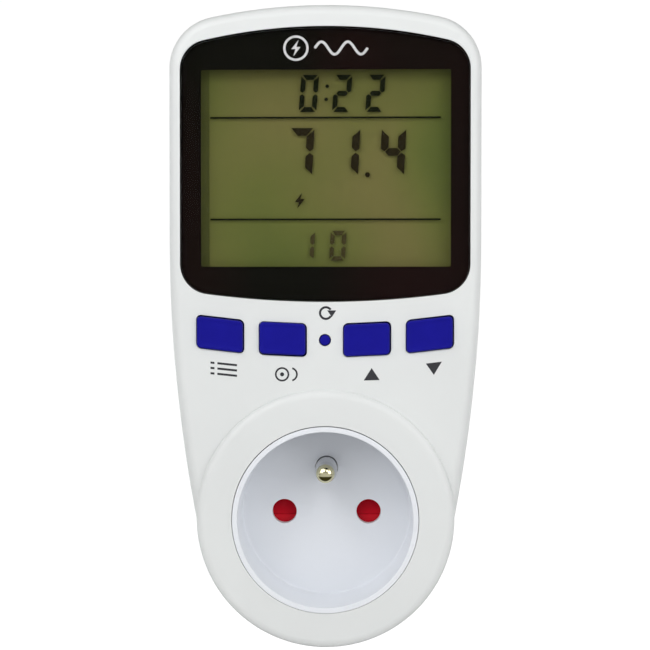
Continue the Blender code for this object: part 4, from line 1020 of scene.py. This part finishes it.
def plug():
    rim_y, flange = span("plug_housing", 1)[0], REAR_FACE - WALL - 0.3 * MM
    r, wide, inner, face = PLUG_RADIUS, 20.4 * MM, 15.2 * MM, -2.5 * MM
    profile = [(0.0, 0.0), *rounding(r, 0.0, 1.2 * MM, -1.2 * MM, 7), (r, flange)]
    profile += [(wide, flange), (wide, rim_y), (inner, rim_y), (inner, face), (0.0, face)]
    housing = turned("plug_body", profile, steps=160)
    cutters = []
    inner, wide = PIN_RADIUS + 0.2 * MM, PIN_RADIUS + 0.4 * MM
    hole = [(0.0, -4 * MM), (inner, -4 * MM), (inner, -0.2 * MM), (wide, 0.0), (wide, 2 * MM), (0.0, 2 * MM)]
    for side in (-1, 1):
        guide = sorted((side * 16.9 * MM, side * 25 * MM))
        clip = sorted((side * 16.4 * MM, side * 25 * MM))
        slot = sorted((side * 14.0 * MM, side * 17.0 * MM))
        cutters.append(slab("guide", guide, (-2.9 * MM, 2.9 * MM), 0.4 * MM, (REAR_FACE, 1 * MM)))
        cutters.append(slab("clip", (-2.6 * MM, 2.6 * MM), clip, 0.4 * MM, (REAR_FACE, -1.2 * MM)))
        cutters.append(slab("slot", (-2.3 * MM, 2.3 * MM), slot, 0.1 * MM, (-17.1 * MM, -15.4 * MM)))
        cutters.append(turned("hole", hole, (side * PIN_SPACING / 2, 0), 64))
    hole = [(0.0, -4), (3.4, -4), (3.4, -0.4), (3.8, 0.0), (3.8, 2), (0.0, 2)]
    hole = [(radius * MM, y * MM) for radius, y in hole]
    cutters.append(turned("earth_hole", hole, (0, EARTH_HEIGHT), 64))
    combine(housing, cutters)
    piece(housing, PLUG, replaces=["plug_housing"])
    for name, side in (("live", -1), ("neutral", 1)):
        low, high = span(f"plug_pin_{name}", 1)
        tip = rounding(PIN_RADIUS, high, 2.0 * MM, -2.0 * MM, 10)
        profile = [(0.0, high), *tip, (PIN_RADIUS, -2.8 * MM), (3.4 * MM, -2.8 * MM)]
        profile += [(3.4 * MM, -5.0 * MM), (1.6 * MM, -5.0 * MM), (1.6 * MM, low), (0.0, low)]
        pin = turned(f"contact_pin_{name}", profile, (side * PIN_SPACING / 2, 0), 64)
        piece(pin, NICKEL, replaces=[f"plug_pin_{name}"])


def screws():
    for name, (x, _, z) in SCREWS.items():
        low, high = span(name, 1)
        seat = -32.9 * MM
        head = rounding(2.4 * MM, high, 2.4 * MM, -0.9 * MM)
        profile = [*head, (2.4 * MM, seat), (1.3 * MM, seat), (1.3 * MM, low + 1.1 * MM), (0.0, low)]
        screw = turned(name.replace("case_screw", "screw_head"), profile, (x, z), 48)
        cross = []
        for half_x, half_z in ((1.35 * MM, 0.3 * MM), (0.3 * MM, 1.35 * MM)):
            rings = []
            for y, k in ((high - 1.1 * MM, 0.7), (high + 0.3 * MM, 1.1)):
                wide, tall = half_x * k, half_z * k
                rings.append((rounded_box((x - wide, x + wide), (z - tall, z + tall), 0.05 * MM, 2), y))
            cross.append(loft("slot", rings))
        combine(screw, cross)
        piece(screw, STEEL, replaces=[name])


# ---------------------------------------------------------------- stage

WORLD = (0.725, 0.0)    # strength of the world's light near the horizon and overhead
FLOOR_GLOW = 1.0    # strength of the floor's own light behind the object
FRONT_GLOW = 0.5    # and far in front of it
LIGHTS = [
    # name, azimuth and elevation in degrees from the object's front, distance, size, power
    ("key_high_left", -22, 38, 0.70, 0.28, 0.46),
    ("key_high_right", 22, 38, 0.70, 0.28, 0.46),
    ("key_left", -30, 45, 0.70, 0.50, 0.91),
    ("side_left", -50, 30, 0.70, 0.50, 1.43),
    ("side_right", 50, 30, 0.70, 0.50, 0.64),
    ("fill_right", 55, 14, 0.70, 0.42, 1.02),
]


def light(name, azimuth, elevation, distance, size, power):
    data = bpy.data.lights.new(name, "AREA")
    data.size, data.energy = size, power
    obj = bpy.data.objects.new(name, data)
    bpy.context.scene.collection.objects.link(obj)
    turn, rise = math.radians(azimuth), math.radians(elevation)
    aim = Vector((0.0, -0.05, 0.04))
    away = Vector((math.cos(rise) * math.sin(turn), -math.cos(rise) * math.cos(turn), math.sin(rise)))
    obj.location = aim + distance * away
    obj.rotation_euler = away.to_track_quat("Z", "Y").to_euler()


def stage():
    floor_z = CAD_BOX[0][2] - 130 * MM
    bm = bmesh.new()
    corners = (-4.0, -4.0), (4.0, -4.0), (4.0, 4.0), (-4.0, 4.0)
    bm.faces.new([bm.verts.new((x, y, floor_z)) for x, y in corners])
    mesh = bpy.data.meshes.new("floor")
    bm.to_mesh(mesh)
    bm.free()
    floor = link("floor", mesh)
    look = Look("floor_paper")
    white, whiter = (0.93, 0.93, 0.93), (0.95, 0.95, 0.95)
    look.to(look.ramp(look.noise(3.0), [(0.3, white), (0.7, whiter)]), "Base Color")
    look.to(look.span(look.noise(60.0), 0.7, 0.85), "Roughness")
    glow = look.add("ShaderNodeMath", operation="ADD")
    look.link(look.band("Y", 0.05, 0.45, 0.0, FLOOR_GLOW), glow.inputs[0])
    look.link(look.band("Y", -0.3, -1.5, 0.0, FRONT_GLOW), glow.inputs[1])
    look.to(glow.outputs["Value"], "Emission Strength")
    look.put(Emission_Color=(1.0, 1.0, 1.0, 1.0))
    mesh.materials.append(look.material)

    world = bpy.data.worlds.new("studio")
    bpy.context.scene.world = world
    world.use_nodes = True
    tree = world.node_tree
    background = tree.nodes["Background"]
    place = tree.nodes.new("ShaderNodeTexCoord")
    split = tree.nodes.new("ShaderNodeSeparateXYZ")
    tree.links.new(place.outputs["Generated"], split.inputs["Vector"])

    def gradient(axis, low, high, dark, bright):
        ramp = tree.nodes.new("ShaderNodeMapRange")
        ramp.interpolation_type = "SMOOTHSTEP"
        for key, value in (("From Min", low), ("From Max", high), ("To Min", dark), ("To Max", bright)):
            ramp.inputs[key].default_value = value
        tree.links.new(split.outputs[axis], ramp.inputs["Value"])
        return ramp.outputs["Result"]

    def combined(operation, a, b):
        node = tree.nodes.new("ShaderNodeMath")
        node.operation = operation
        tree.links.new(a, node.inputs[0])
        tree.links.new(b, node.inputs[1])
        return node.outputs["Value"]

    sky = gradient("Z", -0.10, 0.80, *WORLD)
    backdrop = gradient("Y", 0.78, 0.93, 0.0, 1.03)
    tree.links.new(combined("MAXIMUM", sky, backdrop), background.inputs["Strength"])
    background.inputs["Color"].default_value = (1.0, 1.0, 1.0, 1.0)

    for settings in LIGHTS:
        light(*settings)

    camera = bpy.data.objects.new("camera", bpy.data.cameras.new("camera"))
    bpy.context.scene.collection.objects.link(camera)
    camera.location = (6.5 * MM, RING_FACE - 300 * MM, 47.5 * MM)
    aim = Vector((0.05 * MM, RING_FACE, 42.1 * MM)) - camera.location
    camera.rotation_euler = aim.to_track_quat("-Z", "Y").to_euler()
    camera.data.sensor_width = 36.0
    camera.data.lens = 18.0 / math.tan(math.radians(26.2 / 2))
    camera.data.clip_start = 0.01
    bpy.context.scene.camera = camera
    bpy.context.scene.view_settings.view_transform = "Standard"
    bpy.context.scene.view_settings.look = "None"


front_shell()
rear_shell()
window()
display_figures()
keys()
labels()
socket()
shutter()
spring()
plug()
screws()
stage()
